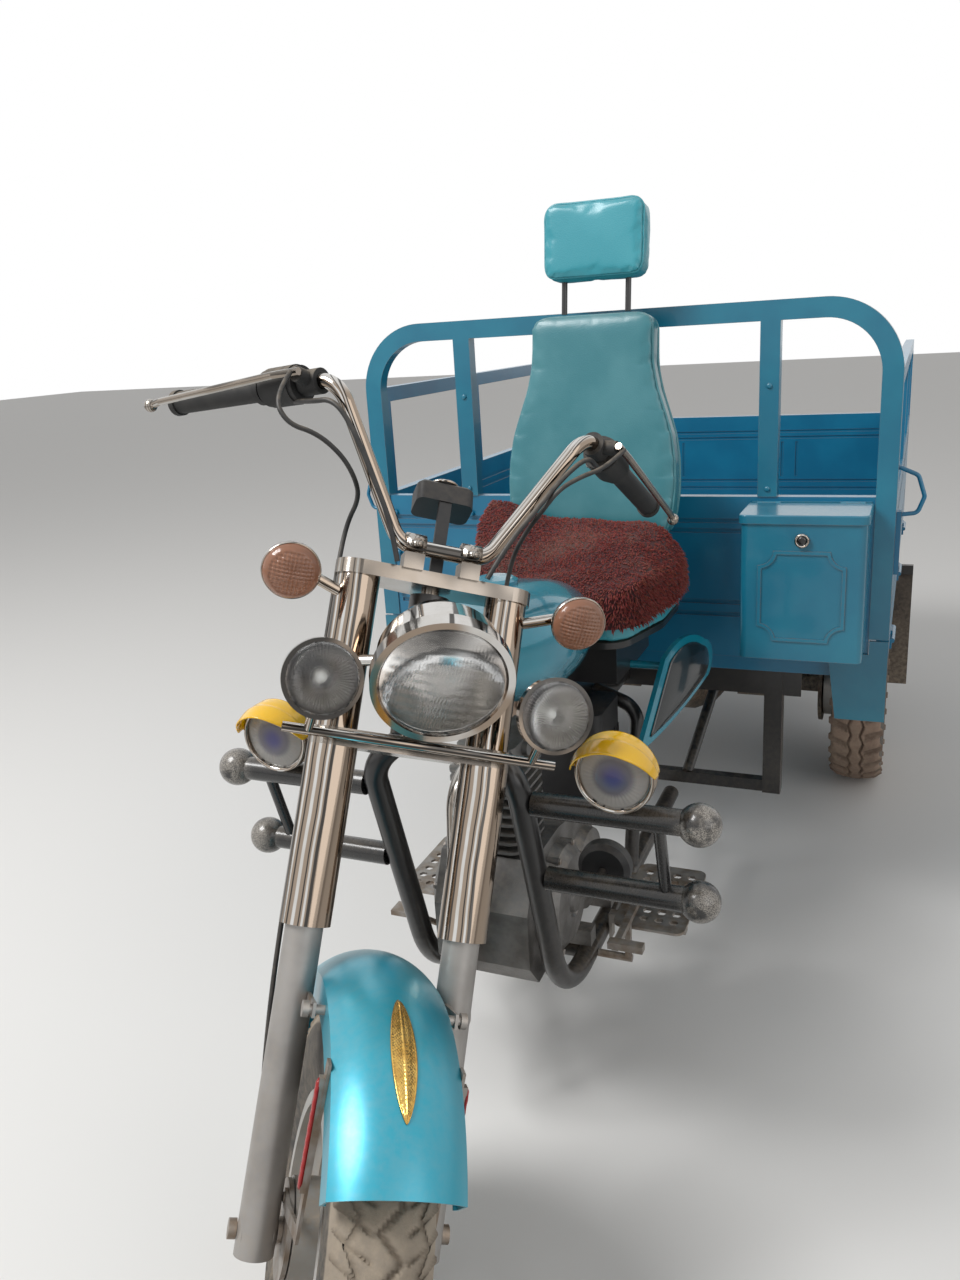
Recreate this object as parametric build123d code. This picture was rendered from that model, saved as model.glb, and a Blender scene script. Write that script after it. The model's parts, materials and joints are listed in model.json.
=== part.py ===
from build123d import *
import math
import os

# Cargo motor tricycle, in millimetres.
# X is the vehicle's left, Y runs from the front wheel to the tailgate, Z is up from the ground.
# Everything is placed from the front face of the headboard (Y = 0) and the ground (Z = 0).
# At the end the whole vehicle is shifted so that its footprint is centred on the origin.

# Driving dimensions: cargo bed
BED_WIDTH = 1195.0
BED_LENGTH = 1795.0
FLOOR_TOP = 644.0
FLOOR_SHEET = 4.0
FLOOR_RIM = 40.0
PANEL_TOP = 1003.0
PANEL_THICK = 26.0
HOOP_TOP = 1400.0
HOOP_FOOT = 700.0
HOOP_TUBE = 40.0
HOOP_DEPTH = 32.0
HOOP_CORNER = 150.0
POST_X = 342.0
RAIL_TOP = 1257.0
RAIL_TUBE = 34.0
GATE_GAP = 6.0
GROOVE_DEPTH = 4.0
GROOVE_WIDTH = 9.0

# Driving dimensions: rear running gear
REAR_AXLE_Y = 900.0
REAR_TYRE_R = 282.0
REAR_TYRE_W = 130.0
REAR_TRACK = 1030.0
RIM_BEAD_R = 152.0
FLANGE = 13.0
RAIL_X = 200.0
RAIL_WIDTH = 40.0
RAIL_HEIGHT = 60.0

# Driving dimensions: steering and front wheel
RAKE = 28.6
STEER_REST = 37.2
PIVOT_Y = -1012.8
PIVOT_Z = 900.0
FORK_HALF_GAUGE = 107.0
FORK_OFFSET = 20.0
AXLE_OFFSET = 12.0
FRONT_TYRE_R = 295.0
FRONT_TYRE_W = 122.0
COVER_D = 68.0
LOWER_D = 50.0
FENDER_GAP = 52.0
FENDER_WIDTH = 152.0
FENDER_RISE = 34.0
FENDER_DEPTH = 72.0
FENDER_FRONT = 64.0
FENDER_REAR = 88.0
HEAD_TUBE_D = 56.0
RUNNING_GAP = 0.3

# Driving dimensions: front frame and crash bar
DOWN_TUBE_D = 38.0
DOWN_TUBE_X = 120.0
CRADLE_Z = 262.0
BACKBONE_D = 50.0
CRASH_D = 38.0
CRASH_BALL_D = 62.0
CRASH_HALF = 383.0
CRASH_UPPER_Z = 706.0
CRASH_LOWER_Z = 557.0
FOG_X = 274.0
FOG_D = 115.0

# Driving dimensions: saddle, backrest and headrest
SEAT_Y0 = -446.0
SEAT_HALF = 195.0
NOSE_HALF = 150.0
SEAT_FOOT = 795.0
CUSHION_THICK = 95.0
SEAT_TOP = SEAT_FOOT + CUSHION_THICK
LEAN = 8.0
BACK_FOOT_Y = -127.0
SEAT_Y1 = BACK_FOOT_Y - RUNNING_GAP
BACK_FOOT = SEAT_TOP + 45
BACK_HEIGHT = 457.0
BACK_TOP = BACK_FOOT + BACK_HEIGHT
BACK_THICK = 72.0
CREST_Y = BACK_FOOT_Y - BACK_THICK + 11
SEAT_RISE = 60.0
RUG_RISE = 46.0
RUG_HEM = 16.0
HEAD_Z0 = BACK_TOP + 63
HEAD_HEIGHT = 155.0
HEAD_Z1 = HEAD_Z0 + HEAD_HEIGHT

# Driving dimensions: backbone, and the tank and side covers hung on it
HEAD_REACH = 27.8
BACKBONE_FRONT = (PIVOT_Y + HEAD_REACH, PIVOT_Z + 5)
BACKBONE_KNEE = (-560.0, SEAT_FOOT - 53)
BACKBONE_TAIL = (-60.0, FLOOR_TOP - 74)
DOWN_TOP_Y = PIVOT_Y + 60.8
DOWN_TOP_Z = PIVOT_Z - 155
DOWN_KNEE_Y = -800.0
MOUNT_FRONT_Y = -640.0
MOUNT_REAR_Y = -505.0
STRUT_Y = -250.0

# Driving dimensions: tool box on the front board
BOX_WIDTH = 239.0
BOX_SIDE_GAP = 46.5
BOX_X1 = BED_WIDTH / 2 - BOX_SIDE_GAP
BOX_X0 = BOX_X1 - BOX_WIDTH
BOX_Z0 = 695.0
BOX_Z1 = 990.0
BOX_DEPTH = 160.0
SKIRT_TOP = 667.0
SKIRT_FOOT_Z = 516.0
SKIRT_FOOT_WIDTH = 101.5
SKIRT_TOP_WIDTH = 121.5
SHEET = 3.0


def block(x0, x1, y0, y1, z0, z1):
    """A block between two opposite corners."""
    middle = Pos((x0 + x1) / 2, (y0 + y1) / 2, (z0 + z1) / 2)
    return middle * Box(abs(x1 - x0), abs(y1 - y0), abs(z1 - z0))


def rod(start, end, diameter):
    """A round bar from one point to another."""
    run = Vector(*end) - Vector(*start)
    return extrude(Plane(origin=start, z_dir=run) * Circle(diameter / 2), run.length)


def pipe(start, end, outer, inner):
    """A round pipe from one point to another."""
    run = Vector(*end) - Vector(*start)
    ring = Circle(outer / 2) - Circle(inner / 2)
    return extrude(Plane(origin=start, z_dir=run) * ring, run.length)


def bent_bar(points, bend, diameter):
    """A round bar along corners, each bent with the same radius or its own."""
    path = FilletPolyline(*points, radius=bend)
    run = Vector(*points[1]) - Vector(*points[0])
    return sweep(Plane(origin=points[0], z_dir=run) * Circle(diameter / 2), path=path)


def turned(profile, origin, axis):
    """A turned piece: (distance along the axis, radius) pairs revolved about the axis at origin."""
    outline = make_face(Polyline(*[(r, t) for t, r in profile], close=True))
    piece = revolve(Plane.XZ * outline, Axis.Z)
    return Plane(origin=origin, z_dir=axis).location * piece


def backbone_z(y):
    """Height of the backbone's middle line on its rear stretch, under the saddle."""
    share = (y - BACKBONE_KNEE[0]) / (BACKBONE_TAIL[0] - BACKBONE_KNEE[0])
    return BACKBONE_KNEE[1] + share * (BACKBONE_TAIL[1] - BACKBONE_KNEE[1])


def backbone_rear(extra):
    """The backbone's rear stretch as a bar, thicker than the real one by a clearance."""
    return rod((0, *BACKBONE_KNEE), (0, *BACKBONE_TAIL), BACKBONE_D + extra)


def lamp_body(shell, seat_r, depth, bulb_r, origin, axis):
    """A round lamp turned in one piece: outer shell, dished reflector and the bulb standing in it.

    shell lists (distance along the axis, radius) pairs from the seat of the glass round to the back.
    """
    start = (seat_r, shell[0][0])
    rear = (0, shell[-1][0])
    bulb_tip = depth * 0.45
    collar = (bulb_r * 1.7, depth)
    outside = Polyline(*[(r, t) for t, r in shell])
    spine = Line(rear, (0, bulb_tip))
    bulb = Polyline(
        (0, bulb_tip), (bulb_r * 0.7, bulb_tip + 2), (bulb_r, bulb_tip + bulb_r), (bulb_r, depth), collar
    )
    dish = ThreePointArc(collar, (seat_r * 0.64, depth * 0.62), start)
    face = make_face([*outside.edges(), spine, *bulb.edges(), dish])
    return Plane(origin=origin, z_dir=axis).location * revolve(Plane.XZ * face, Axis.Z)


def both_sides(piece):
    """A piece and its mirror image across the middle of the vehicle."""
    return Compound(children=[piece, mirror(piece, about=Plane.YZ)])


def plate_yz(points, x0, x1):
    """A flat plate whose outline is given as (y, z) points, between two x planes."""
    outline = make_face(Polyline(*points, close=True))
    return Pos(x0, 0, 0) * extrude(Plane.YZ * outline, x1 - x0)


def plate_xz(points, y0, y1):
    """A flat plate whose outline is given as (x, z) points, between two y planes."""
    outline = make_face(Polyline(*points, close=True))
    return Pos(0, y1, 0) * extrude(Plane.XZ * outline, y1 - y0)


# Steering frame: x to the left across the fork, y rearward across it, z up along the steering axis
rake = math.radians(RAKE)
steer = math.radians(STEER_REST)
axis_up = Vector(0, math.sin(rake), math.cos(rake))
across = Vector(
    math.cos(steer), math.sin(steer) * math.cos(rake), -math.sin(steer) * math.sin(rake)
)
fork_plane = Plane(origin=(0, PIVOT_Y, PIVOT_Z), x_dir=across, z_dir=axis_up)
head_plane = Plane(origin=(0, PIVOT_Y, PIVOT_Z), x_dir=(1, 0, 0), z_dir=axis_up)
REARWARD = (0, math.cos(rake), math.sin(rake))


def aimed(tilt):
    """Rearward axis of a lamp in the steering frame, its face tilted down from level by some degrees."""
    angle = math.radians(RAKE + tilt)
    return (0, math.cos(angle), math.sin(angle))



# The front wheel stands on the ground with its plane leaning as the steering turns it
front_lean = math.asin(math.sin(steer) * math.sin(rake))
front_section = FRONT_TYRE_W / 2
front_axle_z = (FRONT_TYRE_R - front_section) * math.cos(front_lean) + front_section
drop_per_offset = math.cos(steer) * math.sin(rake)
AXLE_S = (front_axle_z - PIVOT_Z - AXLE_OFFSET * drop_per_offset) / math.cos(rake)

# Heights along the steering axis, from the pivot point upward
YOKE_LOW = (-96.0, -72.0)
YOKE_TOP = (138.0, 158.0)
HEAD_TUBE_S = (-66.0, 132.0)
COVER_FOOT_S = -330.0


def tyre(radius, width, bead_radius):
    """A tyre about the X axis: round crown, bulged walls, seated on its rim."""
    half = width / 2
    bead = half * 0.78
    wall_r = radius - half
    lip = bead_radius + FLANGE
    mid = (wall_r + lip) / 2 + 6
    crown = ThreePointArc((-half, wall_r), (0, radius), (half, wall_r))
    left = ThreePointArc((-bead, lip), (-half * 0.96, mid), (-half, wall_r))
    right = ThreePointArc((half, wall_r), (half * 0.96, mid), (bead, lip))
    foot = Polyline((bead, lip), (bead, bead_radius), (-bead, bead_radius), (-bead, lip))
    return revolve(make_face([left, crown, right, *foot.edges()]), Axis.X)


def rear_tyre(radius, width, bead_radius):
    """A squarer tyre about the X axis, with a nearly flat tread and round shoulders."""
    half = width / 2
    bead = half * 0.78
    lip = bead_radius + FLANGE
    shoulder = radius - 26
    edge = half * 0.72
    crown = ThreePointArc((-edge, radius - 6), (0, radius), (edge, radius - 6))
    left = Polyline((-bead, bead_radius), (-bead, lip), (-half, lip + 28), (-half, shoulder), (-edge, radius - 6))
    right = Polyline((edge, radius - 6), (half, shoulder), (half, lip + 28), (bead, lip), (bead, bead_radius))
    foot = Line((bead, bead_radius), (-bead, bead_radius))
    return revolve(make_face([*left.edges(), crown, *right.edges(), foot]), Axis.X)


def rim(width, bead_radius, hub_half, hub_radius, bore_radius, disc_x, holes, drum=0):
    """A pressed rim about the X axis: flanged barrel, dished disc with holes, bored hub and brake drum."""
    half = width * 0.39 + RUNNING_GAP
    seat = bead_radius - RUNNING_GAP
    wall = 4.0
    outer = [
        (-half - 5, seat + FLANGE),
        (-half, seat + FLANGE),
        (-half, seat),
        (-half * 0.45, seat - 2),
        (-half * 0.3, seat - 18),
        (half * 0.3, seat - 18),
        (half * 0.45, seat - 2),
        (half, seat),
        (half, seat + FLANGE),
        (half + 5, seat + FLANGE),
    ]
    inner = [
        (half + 5, seat - wall),
        (half * 0.45 + 3, seat - wall - 2),
        (half * 0.3 + 3, seat - 18 - wall),
        (-half * 0.3 - 3, seat - 18 - wall),
        (-half * 0.45 - 3, seat - wall - 2),
        (-half - 5, seat - wall),
    ]
    barrel = revolve(make_face(Polyline(*outer, *inner, close=True)), Axis.X)
    dish = [
        (disc_x - 14, seat - 19),
        (disc_x - 8, seat - 19),
        (disc_x + 6, seat * 0.66),
        (disc_x + 2, hub_radius - 2),
        (disc_x - 4, hub_radius - 2),
        (disc_x, seat * 0.66),
    ]
    disc = revolve(make_face(Polyline(*dish, close=True)), Axis.X)
    hub_face = make_face(
        Polyline(
            (-hub_half, bore_radius),
            (hub_half, bore_radius),
            (hub_half, hub_radius - 8),
            (hub_half - 8, hub_radius),
            (-hub_half, hub_radius),
            close=True,
        )
    )
    hub = revolve(hub_face, Axis.X)
    wheel = barrel + disc + hub
    vent_r = seat * 0.66
    for i in range(holes):
        turn = Rot(X=360 * i / holes)
        wheel -= turn * Pos(disc_x - 20, vent_r, 0) * Rot(Y=90) * extrude(RegularPolygon(15, 10), 50)
    if drum > 0:
        shell = [(-drum, bore_radius), (-drum, 96), (-drum + 66, 96), (-24, 56), (-24, bore_radius)]
        wheel += revolve(make_face(Polyline(*shell, close=True)), Axis.X)
    return wheel


def front_wheel():
    """Front tyre and its rim, both in the steering frame."""
    place = fork_plane.location * Pos(0, -AXLE_OFFSET, AXLE_S)
    hub_half = FORK_HALF_GAUGE - LOWER_D / 2 - 14
    casing = tyre(FRONT_TYRE_R, FRONT_TYRE_W, RIM_BEAD_R)
    wheel = rim(FRONT_TYRE_W, RIM_BEAD_R, hub_half, 62, 7.5 + RUNNING_GAP, 0, 8)
    return place * casing, place * wheel


def rear_wheel(side):
    """Tyre and rim of one rear wheel; side is 1 for the left and -1 for the right."""
    place = Pos(side * REAR_TRACK / 2, REAR_AXLE_Y, REAR_TYRE_R)
    casing = rear_tyre(REAR_TYRE_R, REAR_TYRE_W, RIM_BEAD_R)
    wheel = rim(REAR_TYRE_W, RIM_BEAD_R, 40, 56, 15 + RUNNING_GAP, 12, 6, drum=102)
    if side < 0:
        wheel = mirror(wheel, about=Plane.YZ)
    return place * casing, place * wheel


def grooves(x0, x1, y_face, toward, heights):
    """Horizontal pressed grooves cut into a face of constant y; toward is the sign into the panel."""
    cuts = []
    for z in heights:
        y0, y1 = sorted((y_face - toward, y_face + toward * GROOVE_DEPTH))
        cuts.append(block(x0, x1, y0, y1, z - GROOVE_WIDTH / 2, z + GROOVE_WIDTH / 2))
    return cuts


# Heights of the pressed groove pairs in every bed panel
GROOVE_Z = (950.0, 928.0, 768.0, 740.0)
half_bed = BED_WIDTH / 2


def front_board():
    """Ribbed panel between the legs of the headboard."""
    edge = half_bed - HOOP_TUBE
    y0 = 3.0
    board = block(-edge, edge, y0, y0 + PANEL_THICK, FLOOR_TOP - 1, PANEL_TOP)
    for cut in grooves(-edge + 12, edge - 12, y0, 1, GROOVE_Z):
        board -= cut
    for cut in grooves(-edge + 12, edge - 12, y0 + PANEL_THICK, -1, GROOVE_Z):
        board -= cut
    return board


def headboard():
    """Rounded hoop of flat tube with two inner posts standing on the front board."""
    outer = Pos(0, (HOOP_TOP + HOOP_FOOT) / 2) * Rectangle(BED_WIDTH, HOOP_TOP - HOOP_FOOT)
    outer = fillet(outer.vertices().group_by(Axis.Y)[-1], HOOP_CORNER)
    inside_top = HOOP_TOP - HOOP_TUBE
    inner = Pos(0, (inside_top + HOOP_FOOT) / 2) * Rectangle(
        BED_WIDTH - 2 * HOOP_TUBE, inside_top - HOOP_FOOT
    )
    inner = fillet(inner.vertices().group_by(Axis.Y)[-1], HOOP_CORNER - HOOP_TUBE)
    hoop = Pos(0, HOOP_DEPTH, 0) * extrude(Plane.XZ * (outer - inner), HOOP_DEPTH)
    for x in (-POST_X, POST_X):
        hoop += block(x - HOOP_TUBE / 2, x + HOOP_TUBE / 2, 0, HOOP_DEPTH, PANEL_TOP, inside_top + 5)
    return hoop


GATE_Y0 = HOOP_DEPTH + GATE_GAP
TAILGATE_Y0 = BED_LENGTH - PANEL_THICK
GATE_Y1 = TAILGATE_Y0 - GATE_GAP
GATE_Z0 = FLOOR_TOP + GATE_GAP
GATE_HINGE_X = half_bed + 4
GATE_HINGE_Z = GATE_Z0 - 7
KNUCKLE_D = 12.0


def side_gate():
    """Left drop side: ribbed panel, bolted upper rail on four posts, latch lever and hinge knuckles."""
    x1 = half_bed
    x0 = half_bed - PANEL_THICK
    gate = block(x0, x1, GATE_Y0, GATE_Y1, GATE_Z0, PANEL_TOP)
    for z in GROOVE_Z:
        low, high = z - GROOVE_WIDTH / 2, z + GROOVE_WIDTH / 2
        gate -= block(x1 - GROOVE_DEPTH, x1 + 1, GATE_Y0 + 12, GATE_Y1 - 12, low, high)
        gate -= block(x0 - 1, x0 + GROOVE_DEPTH, GATE_Y0 + 12, GATE_Y1 - 12, low, high)
    rail_x0 = (x0 + x1) / 2 - 13
    rail_x1 = rail_x0 + 26
    gate += block(rail_x0, rail_x1, GATE_Y0, GATE_Y1, RAIL_TOP - RAIL_TUBE, RAIL_TOP)
    span = GATE_Y1 - GATE_Y0 - RAIL_TUBE
    for i in range(4):
        y = GATE_Y0 + span * i / 3
        gate += block(rail_x0, rail_x1, y, y + RAIL_TUBE, PANEL_TOP - 5, RAIL_TOP - RAIL_TUBE + 5)
    for y in hinge_places():
        gate += hinge_half(y, 0)
    lever = bent_bar(
        [
            (half_bed - 3, GATE_Y0 + 20, 1058),
            (half_bed + 38, GATE_Y0 + 20, 1040),
            (half_bed + 52, GATE_Y0 + 20, 996),
            (half_bed + 40, GATE_Y0 + 20, 962),
            (half_bed + 8, GATE_Y0 + 20, 958),
        ],
        14,
        9,
    )
    gate += lever
    gate += block(half_bed - 1, half_bed + 10, GATE_Y0 + 8, GATE_Y0 + 32, 832, 966)
    return gate


def hinge_places():
    """Middles of the three hinges along a side gate."""
    return [GATE_Y0 + (GATE_Y1 - GATE_Y0) * share for share in (0.12, 0.5, 0.88)]


def hinge_half(y, part):
    """Knuckles of a side hinge at y: part 0 is the gate's middle knuckle, part 1 the floor's pair."""
    place = (GATE_HINGE_X, y, GATE_HINGE_Z)
    if part == 0:
        knuckle = Pos(*place) * Rot(X=90) * Cylinder(KNUCKLE_D / 2, 50)
        leaf = block(half_bed - 3, GATE_HINGE_X, y - 25, y + 25, GATE_HINGE_Z, GATE_Z0 + 8)
        return knuckle + leaf
    pair = None
    for shift in (-40.3, 40.3):
        knuckle = Pos(GATE_HINGE_X, y + shift, GATE_HINGE_Z) * Rot(X=90) * Cylinder(KNUCKLE_D / 2, 30)
        leaf = block(
            half_bed - 6, GATE_HINGE_X, y + shift - 15, y + shift + 15, GATE_HINGE_Z - 20, GATE_HINGE_Z
        )
        pair = knuckle + leaf if pair is None else pair + knuckle + leaf
    return pair


TAIL_HINGE_Y = BED_LENGTH + 4
TAIL_HINGE_X = (-420.0, 0.0, 420.0)


def tail_hinge(x, part):
    """Knuckles of a tailgate hinge at x: part 0 belongs to the tailgate, part 1 to the floor."""
    if part == 0:
        knuckle = Pos(x, TAIL_HINGE_Y, GATE_HINGE_Z) * Rot(Y=90) * Cylinder(KNUCKLE_D / 2, 50)
        return knuckle + block(x - 25, x + 25, BED_LENGTH - 3, TAIL_HINGE_Y, GATE_HINGE_Z, GATE_Z0 + 8)
    pair = None
    for shift in (-40.3, 40.3):
        knuckle = Pos(x + shift, TAIL_HINGE_Y, GATE_HINGE_Z) * Rot(Y=90) * Cylinder(KNUCKLE_D / 2, 30)
        leaf = block(
            x + shift - 15, x + shift + 15, BED_LENGTH - 6, TAIL_HINGE_Y, GATE_HINGE_Z - 20, GATE_HINGE_Z
        )
        pair = knuckle + leaf if pair is None else pair + knuckle + leaf
    return pair


def tailgate():
    """Ribbed tailgate across the full width, with its hinge knuckles."""
    gate = block(-half_bed, half_bed, TAILGATE_Y0, BED_LENGTH, GATE_Z0, PANEL_TOP + 6)
    for cut in grooves(-half_bed + 12, half_bed - 12, TAILGATE_Y0, 1, GROOVE_Z):
        gate -= cut
    for cut in grooves(-half_bed + 12, half_bed - 12, BED_LENGTH, -1, GROOVE_Z):
        gate -= cut
    for x in (-230, 190):
        for shift in (-26, 26):
            gate -= block(x + shift - 4, x + shift + 4, TAILGATE_Y0 - 1, TAILGATE_Y0 + 4, 785, 912)
    for x in TAIL_HINGE_X:
        gate += tail_hinge(x, 0)
    return gate


def bed_floor():
    """Floor sheet with a rim folded down all round and the fixed hinge knuckles."""
    x1 = half_bed - 4
    y0 = 3.0 + PANEL_THICK + RUNNING_GAP
    y1 = BED_LENGTH - 4
    floor = block(-x1, x1, y0, y1, FLOOR_TOP - FLOOR_SHEET, FLOOR_TOP)
    for a, b, c, d in (
        (-x1, x1, y0, y0 + SHEET),
        (-x1, x1, y1 - SHEET, y1),
        (-x1, -x1 + SHEET, y0, y1),
        (x1 - SHEET, x1, y0, y1),
    ):
        floor += block(a, b, c, d, FLOOR_TOP - FLOOR_RIM, FLOOR_TOP - 1)
    for y in hinge_places():
        left = hinge_half(y, 1)
        floor += left
        floor += mirror(left, about=Plane.YZ)
    for x in TAIL_HINGE_X:
        floor += tail_hinge(x, 1)
    return floor


CROSS_TUBE = 36.0
CROSS_STEP = 430.0
CROSS_INSET = 55.0
CROSS_Y = (60.0, REAR_AXLE_Y - CROSS_STEP, REAR_AXLE_Y, REAR_AXLE_Y + CROSS_STEP, BED_LENGTH - CROSS_INSET)
RAIL_TOP_Z = FLOOR_TOP - FLOOR_SHEET - CROSS_TUBE
RAIL_FOOT_Z = RAIL_TOP_Z - RAIL_HEIGHT
SPRING_HALF = 330.0
SPRING_WIDTH = 50.0
SPRING_EYE_Z = 440.0
AXLE_TUBE_D = 60.0


def bed_frame():
    """Two long rails under the floor, five cross-members, spring hangers and flap brackets."""
    frame = None
    for x in (-RAIL_X, RAIL_X):
        rail = block(x - RAIL_WIDTH / 2, x + RAIL_WIDTH / 2, 48, BED_LENGTH - 25, RAIL_FOOT_Z, RAIL_TOP_Z)
        frame = rail if frame is None else frame + rail
        for y in (REAR_AXLE_Y - SPRING_HALF, REAR_AXLE_Y + SPRING_HALF):
            for side in (-1, 1):
                ear = SPRING_WIDTH / 2 + RUNNING_GAP
                frame += block(
                    x + side * ear - (side < 0) * 6,
                    x + side * ear + (side > 0) * 6,
                    y - 24,
                    y + 24,
                    SPRING_EYE_Z - 20,
                    RAIL_FOOT_Z + 6,
                )
            frame += rod((x - 30, y, SPRING_EYE_Z), (x + 30, y, SPRING_EYE_Z), 14)
            frame += block(x - 31, x + 31, y - 24, y + 24, RAIL_FOOT_Z - 5, RAIL_FOOT_Z + 1)
    reach = half_bed - 10
    for y in CROSS_Y:
        frame += block(
            -reach, reach, y - CROSS_TUBE / 2, y + CROSS_TUBE / 2, RAIL_TOP_Z, RAIL_TOP_Z + CROSS_TUBE
        )
    for side in (-1, 1):
        x0, x1 = sorted((side * FLAP_X0, side * FLAP_X1))
        frame += block(x0, x1, FLAP_Y - 14, FLAP_Y - 3, FLAP_TOP - 30, FLAP_TOP)
        arm = sorted((side * 490, side * 530))
        frame += block(arm[0], arm[1], FLAP_Y - 14, FLAP_Y - 3, FLAP_TOP - 2, RAIL_TOP_Z + 8)
        frame += block(arm[0], arm[1], FLAP_Y - 14, CROSS_Y[3], RAIL_TOP_Z, RAIL_TOP_Z + 8)
    return frame


FLAP_GAP = 80.0
FLAP_Y = REAR_AXLE_Y + REAR_TYRE_R + FLAP_GAP
FLAP_X0 = 462.0
FLAP_X1 = 640.0
FLAP_TOP = 575.0
FLAP_FOOT = 170.0


def mud_flaps():
    """Rubber flaps behind the rear wheels."""
    flap = block(FLAP_X0, FLAP_X1, FLAP_Y - 3, FLAP_Y + 3, FLAP_FOOT, FLAP_TOP)
    return both_sides(flap)


def leaf(middle_y, foot_z, radius, half_length, lift, thick):
    """One curved spring leaf: a ring sector bulging downward, its ends half_length away."""
    half_angle = math.asin(half_length / radius)
    points = []
    for r in (radius, radius - thick):
        for t in (-half_angle, 0, half_angle):
            points.append((middle_y + r * math.sin(t), foot_z + lift + radius - r * math.cos(t)))
    low = ThreePointArc(*points[0:3])
    high = ThreePointArc(*points[3:6])
    ends = [Line(points[0], points[3]), Line(points[2], points[5])]
    return extrude(Plane.YZ * make_face([low, high, *ends]), SPRING_WIDTH / 2, both=True)


def leaf_springs():
    """Two packs of three leaves with rolled eyes, clamped on the axle tube."""
    sag = SPRING_EYE_Z - (REAR_TYRE_R + AXLE_TUBE_D / 2) - 8 * 3
    radius = (SPRING_HALF**2 + sag**2) / (2 * sag)
    seat_z = REAR_TYRE_R + AXLE_TUBE_D / 2 + RUNNING_GAP
    eye_z = SPRING_EYE_Z
    pack = None
    for i, length in enumerate((SPRING_HALF * 0.55, SPRING_HALF * 0.8, SPRING_HALF * 0.985)):
        strip = leaf(REAR_AXLE_Y, seat_z, radius, length, 8 * i, 8.3)
        pack = strip if pack is None else pack + strip
    for y in (REAR_AXLE_Y - SPRING_HALF, REAR_AXLE_Y + SPRING_HALF):
        ring = pipe((-SPRING_WIDTH / 2, y, eye_z), (SPRING_WIDTH / 2, y, eye_z), 34, 14.6)
        pack += ring
    packs = [Pos(side * RAIL_X, 0, 0) * pack for side in (-1, 1)]
    return Compound(children=packs)


SHAFT_Z = 400.0


def rear_axle():
    """Axle tube with its differential, backing plates and spindles, and the drive shaft ahead of it."""
    z = REAR_TYRE_R
    y = REAR_AXLE_Y
    plate_x = REAR_TRACK / 2 - 116
    axle = rod((-plate_x, y, z), (plate_x, y, z), AXLE_TUBE_D)
    casing = turned(
        [(-110, 0), (-110, 48), (-80, 85), (-20, 112), (20, 112), (80, 85), (110, 48), (110, 0)],
        (0, y, z),
        (1, 0, 0),
    )
    axle += casing
    nose = turned([(0, 0), (0, 70), (60, 62), (120, 40), (160, 40), (160, 0)], (0, y - 60, z), (0, -1, 0))
    axle += nose
    for side in (-1, 1):
        axle += rod((side * plate_x, y, z), (side * (plate_x + 10), y, z), 230)
        axle += rod((side * plate_x, y, z), (side * (REAR_TRACK / 2 + 44), y, z), 30)
        for shift in (-36, 36):
            bolt_x = side * RAIL_X + shift
            for dy in (-AXLE_TUBE_D / 2 - 6, AXLE_TUBE_D / 2 + 6):
                axle += rod((bolt_x, y + dy, z - 42), (bolt_x, y + dy, z + 76), 10)
        axle += block(
            side * RAIL_X - 46, side * RAIL_X + 46, y - 46, y + 46, z - 42, z - AXLE_TUBE_D / 2 + 4
        )
        axle += block(side * RAIL_X - 46, side * RAIL_X + 46, y - 46, y + 46, z + 60, z + 70)
    shaft_front = (0, ENGINE_Y1 + 4, SHAFT_Z)
    shaft_rear = (0, y - 215, z + 4)
    axle += rod(shaft_front, shaft_rear, 36)
    return axle


ENGINE_Y0 = -850.0
ENGINE_Y1 = -470.0
ENGINE_FOOT = 300.0
CYLINDER_Y = -745.0
FIN_PITCH = 17.0
FIN_COUNT = 9


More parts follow.
